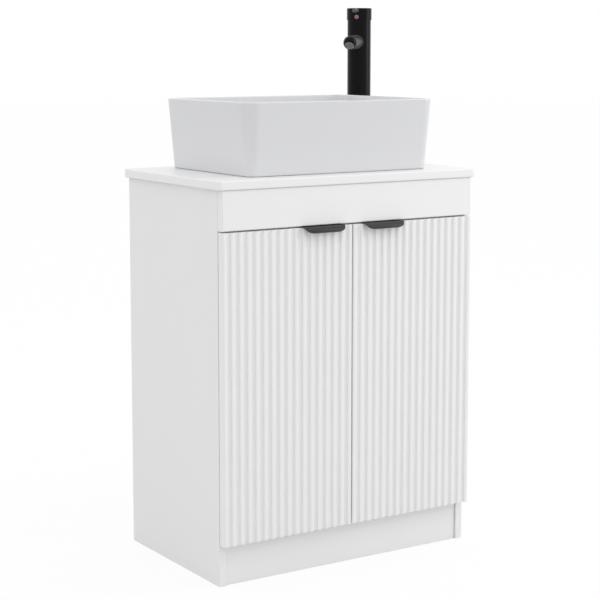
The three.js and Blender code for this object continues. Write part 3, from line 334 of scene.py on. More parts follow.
class Finish:
    """A material being mixed: its nodes, and the surface shader that they feed."""

    def __init__(self, material, shader="ShaderNodeBsdfPrincipled"):
        self.holder = material
        self.holder.use_nodes = True
        self.tree = self.holder.node_tree
        self.tree.nodes.clear()
        kind = "World" if isinstance(material, bpy.types.World) else "Material"
        output = self.tree.nodes.new("ShaderNodeOutput" + kind)
        self.surface = output.inputs["Surface"]
        self.shader = self.tree.nodes.new(shader)
        self.tree.links.new(self.shader.outputs[0], self.surface)

    def node(self, kind, settings, inputs, output=0):
        """Adds a node with its settings, then its inputs, and gives one of its outputs."""
        made = self.tree.nodes.new(kind)
        for name, setting in settings.items():
            setattr(made, name, setting)
        self.feed(made, inputs)
        return Value(self, made.outputs[output])

    def feed(self, node, inputs):
        for name, value in inputs.items():
            if isinstance(value, Value):
                self.tree.links.new(value.socket, node.inputs[name])
            else:
                node.inputs[name].default_value = value

    def place(self):
        return self.node("ShaderNodeTexCoord", {}, {}, "Object")

    def noise(self, scale, detail):
        """Soft noise between 0 and 1, at so many patches to the metre."""
        inputs = {"Vector": self.place(), "Scale": scale, "Detail": detail}
        return self.node("ShaderNodeTexNoise", {}, inputs, "Fac")

    def stretched_noise(self, scale, stretch):
        """Noise drawn out along the axes, as brushing leaves it."""
        place = self.node("ShaderNodeMapping", {}, {"Vector": self.place(), "Scale": stretch})
        inputs = {"Vector": place, "Scale": scale, "Detail": 3, "Roughness": 0.6}
        return self.node("ShaderNodeTexNoise", {}, inputs, "Fac")

    def mix(self, share, first, second):
        settings = {"data_type": "RGBA", "clamp_factor": True}
        return self.node("ShaderNodeMix", settings, {0: share, 6: first, 7: second}, 2)

    def bump(self, height, depth):
        """A bumpy normal; depth is the bumps' height in metres."""
        inputs = {"Height": height, "Distance": depth, "Strength": 1}
        return self.node("ShaderNodeBump", {}, inputs, "Normal")


def grey(level, tint=(1, 1, 1)):
    return (*(level * part for part in tint), 1)


DRIFT = 7  # slow patches of colour to the metre
STROKES = 900  # brushing lines to the metre
STROKE_DEPTH = 0.00003
STROKE_GLOSS = 0.12  # how much the roughness changes from line to line


def coated(slot, tints, texture, gloss, extra=None):
    """A finish whose colour drifts between two tints, with a fine surface texture.

    texture is the grain's scale and depth; gloss is the middle of the roughness and its drift."""
    finish = Finish(bpy.data.materials.new(slot + "_finish"))
    drift = finish.noise(DRIFT, 3)
    grain = finish.noise(texture[0], 2)
    colour = finish.mix(drift, tints[0], tints[1])
    roughness = gloss[0] - gloss[1] / 2 + drift * gloss[1] / 2 + grain * gloss[1] / 2
    bumps = finish.bump(grain, texture[1])
    finish.feed(finish.shader, {"Base Color": colour, "Roughness": roughness, "Normal": bumps})
    finish.feed(finish.shader, extra or {})
    finish.holder.diffuse_color = tints[0]
    return finish.holder


def brushed(slot, tint, gloss, stretch):
    """A bare metal with fine brushing."""
    finish = Finish(bpy.data.materials.new(slot + "_finish"))
    strokes = finish.stretched_noise(STROKES, stretch)
    settings = {
        "Base Color": finish.mix(strokes, grey(0.9, tint), grey(1, tint)),
        "Metallic": 1.0,
        "Roughness": gloss + strokes * STROKE_GLOSS - STROKE_GLOSS / 2,
        "Normal": finish.bump(strokes, STROKE_DEPTH),
    }
    finish.feed(finish.shader, settings)
    return finish.holder


GLAZE = (0.98, 0.984, 1.008)  # the ceramic's cool cast
COATS = {  # tints, grain, gloss, and the settings that a slot alone has
    "white_board": (
        (grey(0.845), grey(0.865)), (1400, 0.00006), (0.5, 0.08), {"Specular IOR Level": 0.35},
    ),
    "white_lacquer": (
        (grey(0.86), grey(0.875)), (420, 0.00003), (0.4, 0.06), {"Specular IOR Level": 0.4},
    ),
    "white_worktop": (
        (grey(0.86), grey(0.875)), (600, 0.00002), (0.34, 0.06), {"Specular IOR Level": 0.4},
    ),
    "white_ceramic": (
        (grey(0.703, GLAZE), grey(0.718, GLAZE)), (28, 0.00012), (0.14, 0.04),
        {"Coat Weight": 0.35, "Coat Roughness": 0.05},
    ),
    "black_metal": (
        (grey(0.0025), grey(0.0035)), (2600, 0.00003), (0.28, 0.06),
        {"Specular IOR Level": 0.1, "Sheen Weight": 0.12, "Sheen Roughness": 0.4},
    ),
    # The pin lever's black is painted lighter than the tap's own black: a painted highlight for the
    # light that its end and side catch from above.
    "lever_painted_lit_black": (
        (grey(0.085), grey(0.105)), (2200, 0.00004), (0.36, 0.06), {"Specular IOR Level": 0.3},
    ),
    "pull_black": (
        (grey(0.03), grey(0.042)), (2200, 0.00005), (0.45, 0.08), {"Specular IOR Level": 0.25},
    ),
    "black_rubber": (
        (grey(0.02), grey(0.03)), (1500, 0.0001), (0.8, 0.1), {"Specular IOR Level": 0.3},
    ),
    "clear_bumper": (
        (grey(0.8), grey(0.86)), (900, 0.00002), (0.22, 0.06),
        {"Transmission Weight": 0.7, "IOR": 1.41},
    ),
    "grey_plastic": ((grey(0.27), grey(0.31)), (1800, 0.00005), (0.5, 0.08)),
    "hot_red": (((0.52, 0.08, 0.1, 1), (0.56, 0.09, 0.12, 1)), (900, 0.00001), (0.25, 0.04)),
    "cold_blue": (((0.11, 0.18, 0.4, 1), (0.13, 0.2, 0.43, 1)), (900, 0.00001), (0.25, 0.04)),
}
METALS = {  # tint, gloss, and how the brushing is drawn out
    "satin_steel": ((0.62, 0.63, 0.64), 0.3, (1, 1, 0.05)),
    "chrome": ((0.8, 0.81, 0.82), 0.1, (1, 1, 1)),
}
FINISHES = {slot: coated(slot, *settings) for slot, settings in COATS.items()}
FINISHES.update({slot: brushed(slot, *settings) for slot, settings in METALS.items()})


def make(name, shape, finish, body, *stands_for, crease=35):
    """Makes a piece of a shape drawn in millimetres: it rides on a body and stands for nodes."""
    bmesh.ops.remove_doubles(shape, verts=shape.verts, dist=MERGE / 2)
    bmesh.ops.recalc_face_normals(shape, faces=shape.faces)
    bmesh.ops.scale(shape, vec=(MM, MM, MM), verts=shape.verts)
    mesh = bpy.data.meshes.new(name)
    shape.to_mesh(mesh)
    shape.free()
    mesh.shade_smooth()
    mesh.set_sharp_from_angle(angle=math.radians(crease))
    mesh.materials.append(FINISHES[finish])
    piece = bpy.data.objects.new(name, mesh)
    bpy.context.scene.collection.objects.link(piece)
    normals = piece.modifiers.new("even_shading", "WEIGHTED_NORMAL")
    normals.keep_sharp = True
    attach(piece, body)
    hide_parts(*stands_for)
    return piece


# ---------------------------------------------------------------- carcass


def dress_boards():
    """The carcass's boards keep their solids and take the board finish."""
    boards = [
        "side_panel_left", "side_panel_right", "base_panel", "plinth_board", "front_rail",
        "back_rail", "back_panel", "shelf",
    ]
    for node in boards:
        frame["nodes"][node].material_slots[0].material = FINISHES["white_board"]


FASCIA_FRONT_EDGE = 2.5
FASCIA_BACK_EDGE = 0.6


def fascia():
    low, high = box("fascia_board")
    shape = block(low, high)
    bevelled(shape, level(low.y, axis=1), FASCIA_FRONT_EDGE, 5)
    bevelled(shape, level(high.y, axis=1), FASCIA_BACK_EDGE, 2)
    make("fascia_front", shape, "white_lacquer", "cabinet", "fascia_board")


PIN_RADIUS = 2.5
PIN_LENGTH = 18.45
PIN_DEPTH = 9  # how far a pin goes into the side panel
COLLAR_RADIUS = 4
COLLAR_THICKNESS = 1.2


def shelf_pins():
    """Each pin has a shank in the side panel, a round collar and a peg under the shelf."""
    for side in SIDES:
        for end in ("front", "back"):
            node = f"shelf_pin_{side}_{end}"
            low, high = box(node)
            across = (low.y + high.y) / 2
            shank = lathed([
                (0, 0), (PIN_RADIUS, 0, 0.5), (PIN_RADIUS, PIN_LENGTH, 0.8), (0, PIN_LENGTH),
            ], 24)
            disc = lathed([
                (0, 0), (COLLAR_RADIUS, 0, 0.3), (COLLAR_RADIUS, COLLAR_THICKNESS, 0.3),
                (0, COLLAR_THICKNESS),
            ], 32)
            inward = turned(-90 * towards(side), "Y")
            outer = high.x if side == "right" else low.x
            moved(shank, inward, at(outer, across, high.z - PIN_RADIUS))
            collar_x = outer - towards(side) * (PIN_DEPTH + SEAT)
            moved(disc, inward, at(collar_x, across, high.z - COLLAR_RADIUS))
            make(f"{node}_turned", welded(shank, disc), "satin_steel", "cabinet", node)


# ---------------------------------------------------------------- doors

FLUTES = 16
RIB_WIDTH = 9
RIB_CROWN = 1
FLUTE_FLANK = 2.8
FLUTE_SAG = 0.6
DOOR_EDGE_ROUND = 3
DOOR_REAR_EASE = 0.6
DOOR_END_BEVEL = 0.4
RIB_EASE = 0.8
FLUTE_EASE = 0.4
CUP_BORE = 17.75
CUP_BORE_DEPTH = 11.75
HANDLE_SCREW_BORE = 1.75
HANDLE_SCREW_DEPTH = 12
HANDLE_SCREWS = ("inner", "outer")


def door_section(low, high):
    """The door from above: its rear face, its round front corners, and ribs with flutes between."""
    face, rear = low.y, high.y
    rib_edge = face + RIB_CROWN
    floor = rib_edge + FLUTE_FLANK
    pitch = (high.x - low.x - RIB_WIDTH) / FLUTES
    crown_radius = (RIB_WIDTH**2 / 4 + RIB_CROWN**2) / (2 * RIB_CROWN)
    half_crown = math.degrees(math.asin(RIB_WIDTH / 2 / crown_radius))
    pen = Pen(low.x, rear, DOOR_REAR_EASE)
    pen.to(low.x, face + DOOR_EDGE_ROUND)
    pen.arc(low.x + DOOR_EDGE_ROUND, face + DOOR_EDGE_ROUND, 90, 6)
    pen.to(low.x + RIB_WIDTH / 2, face)
    pen.arc(low.x + RIB_WIDTH / 2, face + crown_radius, half_crown, 3).mark(RIB_EASE)
    for flute in range(FLUTES):
        start = low.x + flute * pitch + RIB_WIDTH
        end = low.x + (flute + 1) * pitch
        pen.to(start, floor, FLUTE_EASE)
        pen.bow(end, floor, -FLUTE_SAG, 4).mark(FLUTE_EASE)
        pen.to(end, rib_edge, RIB_EASE)
        if flute < FLUTES - 1:
            pen.bow(end + RIB_WIDTH, rib_edge, RIB_CROWN, 6).mark(RIB_EASE)
    pen.arc(high.x - RIB_WIDTH / 2, face + crown_radius, half_crown, 3)
    pen.to(high.x - DOOR_EDGE_ROUND, face)
    pen.arc(high.x - DOOR_EDGE_ROUND, face + DOOR_EDGE_ROUND, 90, 6)
    pen.to(high.x, rear, DOOR_REAR_EASE)
    return pen.face()


def fluted_door(side):
    node = f"door_{side}"
    low, high = box(node)
    shape = moved(grown(door_section(low, high), high.z - low.z), at(0, 0, low.z))
    bevelled(shape, level(low.z, high.z), DOOR_END_BEVEL, 1)
    cups = [(f"hinge_cup_{side}_{end}", CUP_BORE, CUP_BORE_DEPTH, 64) for end in ENDS]
    screws = [
        (f"handle_{side}_screw_{end}", HANDLE_SCREW_BORE, HANDLE_SCREW_DEPTH, 16)
        for end in HANDLE_SCREWS
    ]
    tools = []
    for fitting, radius, depth, sides in cups + screws:
        place = middle(fitting)
        bore = rod(radius, -1, depth, sides)
        tools.append(moved(bore, turned(90, "X"), at(place.x, high.y, place.z)))
    make(f"fluted_door_{side}", drilled(shape, *tools), "white_lacquer", node, node)


RECESS_REACH = 0.62  # an arm of a screw's cross, as a share of the head's radius
RECESS_WIDTH = 0.11  # half of its width, as a share of the same
RECESS_DEPTH = 0.55  # as a share of the head's depth
POINT = 0.4  # half of a short screw's tapered end, as a share of its shank


def cross_screw(radius, head_depth, length, shank):
    """A countersunk screw with a cross recess, its face at height 0 and its point below."""
    point = min(shank, POINT * (length - head_depth))
    body = lathed([
        (0, -length), (shank * 0.5, -length + point), (shank, -length + 2 * point),
        (shank, -head_depth), (radius, -0.25), (radius, 0, 0.12), (0, 0),
    ], 32)
    reach, half, floor = radius * RECESS_REACH, radius * RECESS_WIDTH, -head_depth * RECESS_DEPTH
    slots = [block((-x, -y, floor), (x, y, 1)) for x, y in ((reach, half), (half, reach))]
    return drilled(body, *slots)


SHEET = 1.2
SHEET_EASE = 0.35
FOLD_OUTSIDE = 1.4  # radii of the sheet's square fold at the door's back
FOLD_INSIDE = 0.4
HANDLE_BEND = 12
HANDLE_LEG = 18
HANDLE_CORNER = 12
HANDLE_END = (25, 12.5)  # width and height of the oval that rounds each lower corner of the lip
HANDLE_EDGE = 0.25
COUNTERSINK = [(0, -4), (1.75, -4), (1.75, -1.5), (3.25, 0), (3.25, 1), (0, 1)]
PULL_SCREW = {"radius": 3, "head_depth": 1.6, "length": 11, "shank": 1.5}


def pull_outline(side):
    """What is left of the pull's bent sheet: round corners from above, and oval ends to its lip."""
    low, high = box(f"handle_{side}")
    door_face = box(f"door_{side}")[0].y
    past = Vector((0, CLEAR, CLEAR))
    plan = block((low.x, low.y, low.z - CLEAR), high + past)
    front = level(low.y, axis=1)
    bevelled(plan, lambda edge: along(2)(edge) and front(edge), HANDLE_CORNER, 16)
    stretch = HANDLE_END[0] / HANDLE_END[1]
    half = (high.x - low.x) / 2 / stretch
    under = high.z - HANDLE_BEND - 0.2
    lip = block((-half, low.y - CLEAR, under), (half, door_face, high.z + CLEAR))
    lower = level(under)
    bevelled(lip, lambda edge: along(1)(edge) and lower(edge), HANDLE_END[1], 16)
    moved(lip, Matrix.Diagonal((stretch, 1, 1, 1)), at((low.x + high.x) / 2, 0, 0))
    behind = block((low.x, door_face, low.z - CLEAR), high + past)
    return plan, welded(lip, behind)


def edge_pull(side):
    """The bent sheet over the door's top edge: a leg behind, a flange, a curved lip in front."""
    node = f"handle_{side}"
    low, high = box(node)
    top, rear, front = high.z, high.y, low.y
    bend = (front + HANDLE_BEND, top - HANDLE_BEND)
    pen = Pen(rear, top - HANDLE_LEG, SHEET_EASE)
    pen.to(rear, top, FOLD_OUTSIDE)
    pen.to(bend[0], top)
    pen.arc(*bend, 90, 14).mark(SHEET_EASE)
    pen.to(front + SHEET, top - HANDLE_BEND, SHEET_EASE)
    pen.arc(*bend, -90, 14)
    pen.to(rear - SHEET, top - SHEET, FOLD_INSIDE)
    pen.to(rear - SHEET, top - HANDLE_LEG, SHEET_EASE)
    shape = moved(grown(pen.face(), high.x - low.x), TO_SIDE, at(low.x, 0, 0))
    for outline in pull_outline(side):
        shape = kept(shape, outline)
    back = turned(-90, "X")
    door = f"door_{side}"
    places = {end: middle(f"{node}_screw_{end}") for end in HANDLE_SCREWS}
    seats = {end: at(place.x, rear, place.z) for end, place in places.items()}
    tools = [moved(lathed(COUNTERSINK, 32), back, seat) for seat in seats.values()]
    pull = make(f"edge_pull_{side}", drilled(shape, *tools), "pull_black", door, node)
    ease = pull.modifiers.new("eased_edges", "BEVEL")
    ease.width = HANDLE_EDGE * MM
    ease.segments = 2
    ease.limit_method = "ANGLE"
    ease.angle_limit = math.radians(40)
    for end, seat in seats.items():
        screw = moved(cross_screw(**PULL_SCREW), back, seat)
        make(f"pull_screw_{side}_{end}", screw, "pull_black", door, f"{node}_screw_{end}")


BUMPER_DOME = [(0, 0), (4, 0, 0.1), (4, 0.7, 0.3), (2.8, 1.35, 0.8), (0, 1.5)]


def bumpers(side):
    """Clear domed stops on the door's rear face."""
    door = f"door_{side}"
    for end in ENDS:
        node = f"bumper_{side}_{end}"
        place = middle(node)
        place.y = box(node)[0].y
        dome = moved(lathed(BUMPER_DOME, 32), turned(-90, "X"), at(*place))
        make(f"door_stop_{side}_{end}", dome, "clear_bumper", door, node)


# ---------------------------------------------------------------- concealed hinges

CUP_RADIUS = 17.5
CUP_INSIDE = 16.3
CUP_DEPTH = 11.5
CUP_FLOOR = 0.8
CUP_FLANGE = (25, 54, 0.9)  # width, height and thickness
CUP_FLANGE_CORNER = 8
CUP_SCREW_INSET = 5
CUP_SCREW = {"radius": 2.8, "head_depth": 0.8, "length": 0.85, "shank": 1.6}
PIVOT = (13.2, -8)  # the pivot from the cup's axis, outwards and in from the door's rear face
PIVOT_PIN = (1, 15)  # radius and half length
ARM_OFFSET = 11
ARM_THICKNESS = 3
ARM_WIDTH = 15
ARM_NEAR = 18  # where the wide part of the arm begins, and where it ends, behind the pivot
ARM_FAR = 66
ARM_SCREW_PLACES = (0.3, 0.75)  # shares of the way along the wide part
ARM_SCREW = {"radius": 3.6, "head_depth": 0.9, "length": 1.2, "shank": 2.2}
NECK = 3.2
NECK_HEIGHT = 9
EYE_RADIUS = 2.1
EYE_BORE = 1.3
PLATE_SIZE = (24, 50)
PLATE_SCREW_PLACE = 16  # from the plate's middle
PLATE_SCREW_BORE = 3.3
PLATE_SCREW = {"radius": 3.2, "head_depth": 1, "length": 1.9, "shank": 2}


def hinge_cup():
    """A right-hand cup: its axis runs along y, with y = 0 on the door's rear face."""
    bowl = lathed([
        (0, -CUP_DEPTH), (CUP_RADIUS, -CUP_DEPTH, 2.5), (CUP_RADIUS, 1.1, 0.2),
        (CUP_INSIDE, 1.15, 0.2), (CUP_INSIDE, CUP_FLOOR - CUP_DEPTH, 2),
        (0, CUP_FLOOR - CUP_DEPTH),
    ], 64)
    wide, tall, thick = CUP_FLANGE
    flange = block((-wide / 2, -tall / 2, SEAT), (wide / 2, tall / 2, SEAT + thick))
    bevelled(flange, along(2), CUP_FLANGE_CORNER, 8)
    bevelled(flange, level(SEAT + thick), 0.3, 2)
    bores = [rod(CUP_INSIDE + 0.5, -20, 20, 64)]
    screws = []
    for sign in (-1, 1):
        place = at(0, sign * (tall / 2 - CUP_SCREW_INSET), SEAT + thick)
        bores.append(moved(rod(CUP_SCREW["radius"] + 0.1, -CLEAR, CLEAR, 32), place))
        screws.append(moved(cross_screw(**CUP_SCREW), place))
    shape = welded(drilled(flange, *bores), bowl)
    radius, half = PIVOT_PIN
    pin = moved(rod(radius, -half, half, 20), turned(90, "X"), at(PIVOT[0], 0, PIVOT[1]))
    shape = with_copies(shape, [pin, *screws])
    return moved(shape, turned(-90, "X"))


def hinge_arm():
    """A right-hand arm: the pivot is at x = 0, y = 0, and the arm runs back along y."""
    near, far = -ARM_OFFSET, -ARM_OFFSET - ARM_THICKNESS
    plan = path([
        (0, -NECK / 2), (0, NECK / 2), (near, NECK / 2, 1.2), (near, ARM_FAR), (far, ARM_FAR),
        (far, -NECK / 2, 2.6),
    ])
    neck = moved(grown(plan.face(), NECK_HEIGHT), at(0, 0, -NECK_HEIGHT / 2))
    eye = rod(EYE_RADIUS, -NECK_HEIGHT / 2, NECK_HEIGHT / 2, 32)
    half = ARM_WIDTH / 2
    wide = block((far, ARM_NEAR, -half), (near, ARM_FAR, half))
    bevelled(wide, along(0), 2.5, 5)
    channel = block((far - 1, ARM_NEAR + 4, 2 - half), (far + 1.4, ARM_FAR - 3, half - 2))
    bevelled(channel, along(0), 1.5, 4)
    bore = rod(EYE_BORE, -NECK_HEIGHT, NECK_HEIGHT, 20)
    shape = drilled(welded(neck, eye, wide), channel, bore)
    screws = []
    for share in ARM_SCREW_PLACES:
        place = at(far + 0.6, ARM_NEAR + (ARM_FAR - ARM_NEAR) * share, 0)
        screws.append(moved(cross_screw(**ARM_SCREW), turned(-90, "Y"), place))
    return with_copies(shape, screws)


def hinge_plate(thickness):
    """A mounting plate, its middle at the origin, with two screws."""
    half, deep, tall = thickness / 2, PLATE_SIZE[0] / 2, PLATE_SIZE[1] / 2
    shape = block((-half, -deep, -tall), (half, deep, tall))
    bevelled(shape, along(0), 5, 6)
    bevelled(shape, level(-half, axis=0), 0.4, 2)
    bores, screws = [], []
    for height in (-PLATE_SCREW_PLACE, PLATE_SCREW_PLACE):
        bore = rod(PLATE_SCREW_BORE, -CLEAR, CLEAR, 32)
        bores.append(moved(bore, turned(90, "Y"), at(0, 0, height)))
        screw = cross_screw(**PLATE_SCREW)
        screws.append(moved(screw, turned(-90, "Y"), at(0.2 - half, 0, height)))
    return with_copies(drilled(shape, *bores), screws)


def hinges(side):
    """Each hinge is a cup that rides on the door, and an arm and a plate on the cabinet."""
    handed = Matrix.Diagonal((towards(side), 1, 1, 1))
    door_rear = box(f"door_{side}")[1].y
    pivot = Vector(joints[f"door_{side}_hinge"]["pos_m"]) / MM
    for end in ENDS:
        which = f"{side}_{end}"
        cup_middle = middle(f"hinge_cup_{which}")
        plate_low, plate_high = box(f"hinge_plate_{which}")
        cup = moved(hinge_cup(), handed, at(cup_middle.x, door_rear, cup_middle.z))
        make(f"cup_{which}", cup, "satin_steel", f"door_{side}", f"hinge_cup_{which}")
        arm = moved(hinge_arm(), handed, at(pivot.x, pivot.y, cup_middle.z))
        make(f"arm_{which}", arm, "satin_steel", "cabinet", f"hinge_arm_{which}")
        place = at(*((plate_low + plate_high) / 2))
        plate = moved(hinge_plate(plate_high.x - plate_low.x), handed, place)
        make(f"plate_{which}", plate, "satin_steel", "cabinet", f"hinge_plate_{which}")


# ---------------------------------------------------------------- worktop

WORKTOP_CORNER = 10
WORKTOP_EDGE = 2.5
WASTE_HOLE = 22
TAP_HOLE = 17.5


def worktop(basin_axis, tap_axis):
    low, high = box("worktop")
    shape = block(low, high)
    bevelled(shape, along(2), WORKTOP_CORNER, 10)
    bevelled(shape, level(low.z, high.z), WORKTOP_EDGE, 5)
    holes = [
        moved(rod(radius, low.z - CLEAR, high.z + CLEAR), at(*axis, 0))
        for radius, axis in ((WASTE_HOLE, basin_axis), (TAP_HOLE, tap_axis))
    ]
    make("worktop_slab", drilled(shape, *holes), "white_worktop", "cabinet", "worktop")


# ---------------------------------------------------------------- basin and waste

BASIN_TAPER = 12.5
BASIN_WALL = 10
BASIN_EDGE = 3
BASIN_CORNER = 32
BASIN_FLOOR = 15
BASIN_FALL = 5
BASIN_COVE = 34
BOWL_CORNER = 48  # corner of the bowl's floor before its cove is rounded
BOWL_SOFTENING = 20  # how much rounder its corners get on the way to the drain
BOWL_STEPS = (0.45, 0.8)  # where the floor has rings, as shares of the way to the drain
BASIN_UNDERCUT = 4
BASIN_FOOT = 22
FOOT_CORNER = 30
FLANGE_RADIUS = 32
FLANGE_RECESS = 5


def level_ring(shape, half_x, half_y, corner, height):
    """Edges round a rectangle with round corners, or a circle where they take up its sides."""
    corner = min(corner, half_x * 0.999, half_y * 0.999)
    signs = ((-1, -1), (1, -1), (1, 1), (-1, 1))
    outline = path([(x * half_x, y * half_y, corner) for x, y in signs]).loop(12)
    before = set(shape.edges)
    with_copies(shape, [moved(outline, at(0, 0, height))])
    return [edge for edge in shape.edges if edge not in before]


def bowl_rings(rim_x, rim_y, tall):
    """The basin's rings from foot to rim, down the bowl and the drain, and back under to the foot.

    Each has its half width, half depth, corner and height."""
    def lean(height):
        return BASIN_TAPER * (tall - height) / tall

    bowl_edge = BASIN_FLOOR + BASIN_FALL
    bowl_inset = BASIN_WALL + lean(bowl_edge)
    recess = FLANGE_RADIUS + SEAT
    rings = [
        (rim_x - inset, rim_y - inset, corner, height)
        for inset, corner, height in (
            (lean(0), BASIN_CORNER - lean(0), 0),
            (0, BASIN_CORNER, tall),
            (BASIN_WALL, BASIN_CORNER - BASIN_WALL, tall),
            (bowl_inset, BOWL_CORNER, bowl_edge),
        )
    ]
    for share in BOWL_STEPS:
        x = (rim_x - bowl_inset) * (1 - share) + recess * share
        y = (rim_y - bowl_inset) * (1 - share) + recess * share
        corner = BOWL_CORNER * (1 - share) + recess * share + BOWL_SOFTENING * share
        rings.append((x, y, corner, bowl_edge - BASIN_FALL * share))
    for radius, height in (
        (recess, BASIN_FLOOR), (recess, BASIN_FLOOR - FLANGE_RECESS),
        (WASTE_HOLE, BASIN_FLOOR - FLANGE_RECESS), (WASTE_HOLE, BASIN_UNDERCUT),
    ):
        rings.append((radius, radius, radius, height))
    inner = lean(0) + BASIN_FOOT
    for inset, height in ((inner + BASIN_UNDERCUT, BASIN_UNDERCUT), (inner, 0)):
        rings.append((rim_x - inset, rim_y - inset, FOOT_CORNER, height))
    return rings


def basin():
    """The basin's skin, bridged from ring to ring, then rounded at its cove, rim and foot."""
    low, high = box("basin")
    rim_x, rim_y, tall = (high.x - low.x) / 2, (high.y - low.y) / 2, high.z - low.z
    drawn = bowl_rings(rim_x, rim_y, tall)
    # The rings are bridged while they stand well apart, and then each goes to its own height.
    shape = bmesh.new()
    rings = [level_ring(shape, *size, number * tall) for number, (*size, _) in enumerate(drawn)]
    for first, second in zip(rings, rings[1:] + rings[:1]):
        bmesh.ops.bridge_loops(shape, edges=first + second)
    for number, (ring_edges, (*_, height)) in enumerate(zip(rings, drawn)):
        corners = list({v for edge in ring_edges for v in edge.verts})
        bmesh.ops.translate(shape, verts=corners, vec=(0, 0, height - number * tall))
    bmesh.ops.remove_doubles(shape, verts=shape.verts, dist=MERGE / 2)
    bmesh.ops.recalc_face_normals(shape, faces=shape.faces)

    def on_outer_foot(edge):
        inset = BASIN_TAPER + BASIN_FOOT / 2
        return level(0)(edge) and all(
            abs(v.co.x) > rim_x - inset or abs(v.co.y) > rim_y - inset for v in edge.verts
        )

    bevelled(shape, level(BASIN_FLOOR + BASIN_FALL), BASIN_COVE, 12)
    bevelled(shape, lambda edge: level(tall)(edge) and creased(20)(edge), BASIN_EDGE, 5)
    bevelled(shape, on_outer_foot, BASIN_EDGE, 4)
    place = at(*foot("basin"))
    make("basin_shell", moved(shape, place), "white_ceramic", "cabinet", "basin", crease=40)


RING_EASE = 0.4
NUT_FLANGE = 3
NUT_STEP = 2  # how far a nut's flats stand in from its flange


def ring(inner, outer, low, high):
    """A flat ring with eased edges."""
    corners = ((inner, low), (outer, low), (outer, high), (inner, high))
    return spun(path([(*corner, RING_EASE) for corner in corners]).loop())


def nut(inner, radius, low, high, flats):
    """A nut with flats below a round flange."""
    body = bevelled(rod(radius - NUT_STEP, low, high, flats), lambda edge: True, 0.6, 2)
    under = high - NUT_FLANGE
    flange = lathed([(0, under), (radius, under, 0.6), (radius, high, 0.4), (0, high)])
    return drilled(welded(body, flange), rod(inner, low - 2, high + 2))


WASTE_BORE = 17
WASTE_TUBE = 20
WASTE_LENGTH = 72
WASTE_FLANGE = 2.5
WASTE_NUT = 30
HUB_RADIUS = 7
HUB_HEIGHT = 10
HUB_DROP = 19  # from the flange's top to the hub's middle
SPOKES = (90, 210, 330)
SPOKE_WIDTH = 3
SPOKE_HEIGHT = 6
PLUG_RADIUS = 30
PLUG_STEM = (4, 30)  # radius and length


def waste_fitting():
    """The tube under its flange, with a hub on three spokes that guides the plug."""
    top, foot_height = BASIN_FLOOR, BASIN_FLOOR - WASTE_LENGTH
    under = top - WASTE_FLANGE
    tube = lathed([
        (WASTE_BORE, foot_height), (WASTE_TUBE, foot_height, 0.5), (WASTE_TUBE, under),
        (FLANGE_RADIUS, under), (FLANGE_RADIUS, top, 1.4), (WASTE_BORE + 3, top, 0.8),
        (WASTE_BORE, top - 3, 0.8), (WASTE_BORE, foot_height),
    ], 64)
    hub_middle = top - HUB_DROP
    low, high = hub_middle - HUB_HEIGHT / 2, hub_middle + HUB_HEIGHT / 2
    hub = lathed([(0, low), (HUB_RADIUS, low, 0.8), (HUB_RADIUS, high, 0.8), (0, high)], 32)
    y, z = SPOKE_WIDTH / 2, SPOKE_HEIGHT / 2
    spokes = [
        moved(block((0, -y, hub_middle - z), (18.5, y, hub_middle + z)), turned(angle, "Z"))
        for angle in SPOKES
    ]
    guide = rod(PLUG_STEM[0] + SEAT, hub_middle - 20, hub_middle + 20, 32)
    return drilled(welded(tube, hub, *spokes), guide)


def click_plug():
    """The domed lid of the waste on its stem."""
    seat = BASIN_FLOOR + SEAT
    stem, length = PLUG_STEM
    return lathed([
        (0, seat - length), (stem, seat - length, 0.6), (stem, seat, 0.4), (PLUG_RADIUS, seat, 0.4),
        (PLUG_RADIUS, seat + 2.2, 1.2), (22, seat + 4.1, 4), (11, seat + 5.4, 4), (0, seat + 6),
    ], 64)


def waste(place):
    """The waste's pieces, drawn about the drain with height 0 at the basin's foot."""
    bore = WASTE_TUBE + SEAT
    seal_top = BASIN_FLOOR - WASTE_FLANGE - SEAT
    seal = ring(bore, FLANGE_RADIUS - 1, seal_top - 2, seal_top)
    gasket = ring(bore, WASTE_NUT, -20.5, -18.5)
    backnut = nut(bore, WASTE_NUT, -29.75, -20.75, 8)
    for name, shape, finish, body, node in (
        ("waste_fitting", waste_fitting(), "chrome", "cabinet", "waste_body"),
        ("flange_seal", seal, "black_rubber", "cabinet", "waste_flange_seal"),
        ("waste_gasket", gasket, "black_rubber", "cabinet", "waste_washer"),
        ("waste_nut", backnut, "grey_plastic", "cabinet", "waste_backnut"),
        ("click_plug", click_plug(), "chrome", "waste_plug", "waste_plug"),
    ):
        make(name, moved(shape, place), finish, body, node)


# ---------------------------------------------------------------- tap

TAP_RADIUS = 26
TAP_FOOT = 2
TAP_HEIGHT = 336
TAP_SHANK = (16, 46)  # radius and length
HOSE_BORE = 12
BODY_BORE = 22
BODY_FLOOR = 4  # thickness of the body's floor
SPOUT_RADIUS = 15
SPOUT_REACH = 93
SPOUT_HEIGHT = 263
SPOUT_FALL = 2
OUTLET_ANGLE = 40
AERATOR_RADIUS = 9.5
AERATOR_BORE = AERATOR_RADIUS - 0.8
OUTLET_DISTANCE = math.sqrt(SPOUT_RADIUS**2 - (AERATOR_RADIUS + 1.25) ** 2)
LATTICE_PITCH = 3.3
LATTICE_BAR = 0.9
LATTICE_DEPTH = 1.2
CAP_RADIUS = 27.5
CAP_INSIDE = 26.4
CAP_BOTTOM = TAP_HEIGHT - 26
CAP_WEB = CAP_BOTTOM + 12  # the cap is hollow to here, and bored for the stem to the next
CAP_BORE_TOP = CAP_BOTTOM + 21
SHOULDER = CAP_BOTTOM + 0.5
NECK_RADIUS = 20
NECK_TOP = SHOULDER + 3.5
CARTRIDGE_RADIUS = 17.5
CARTRIDGE_TOP = NECK_TOP + 1.5
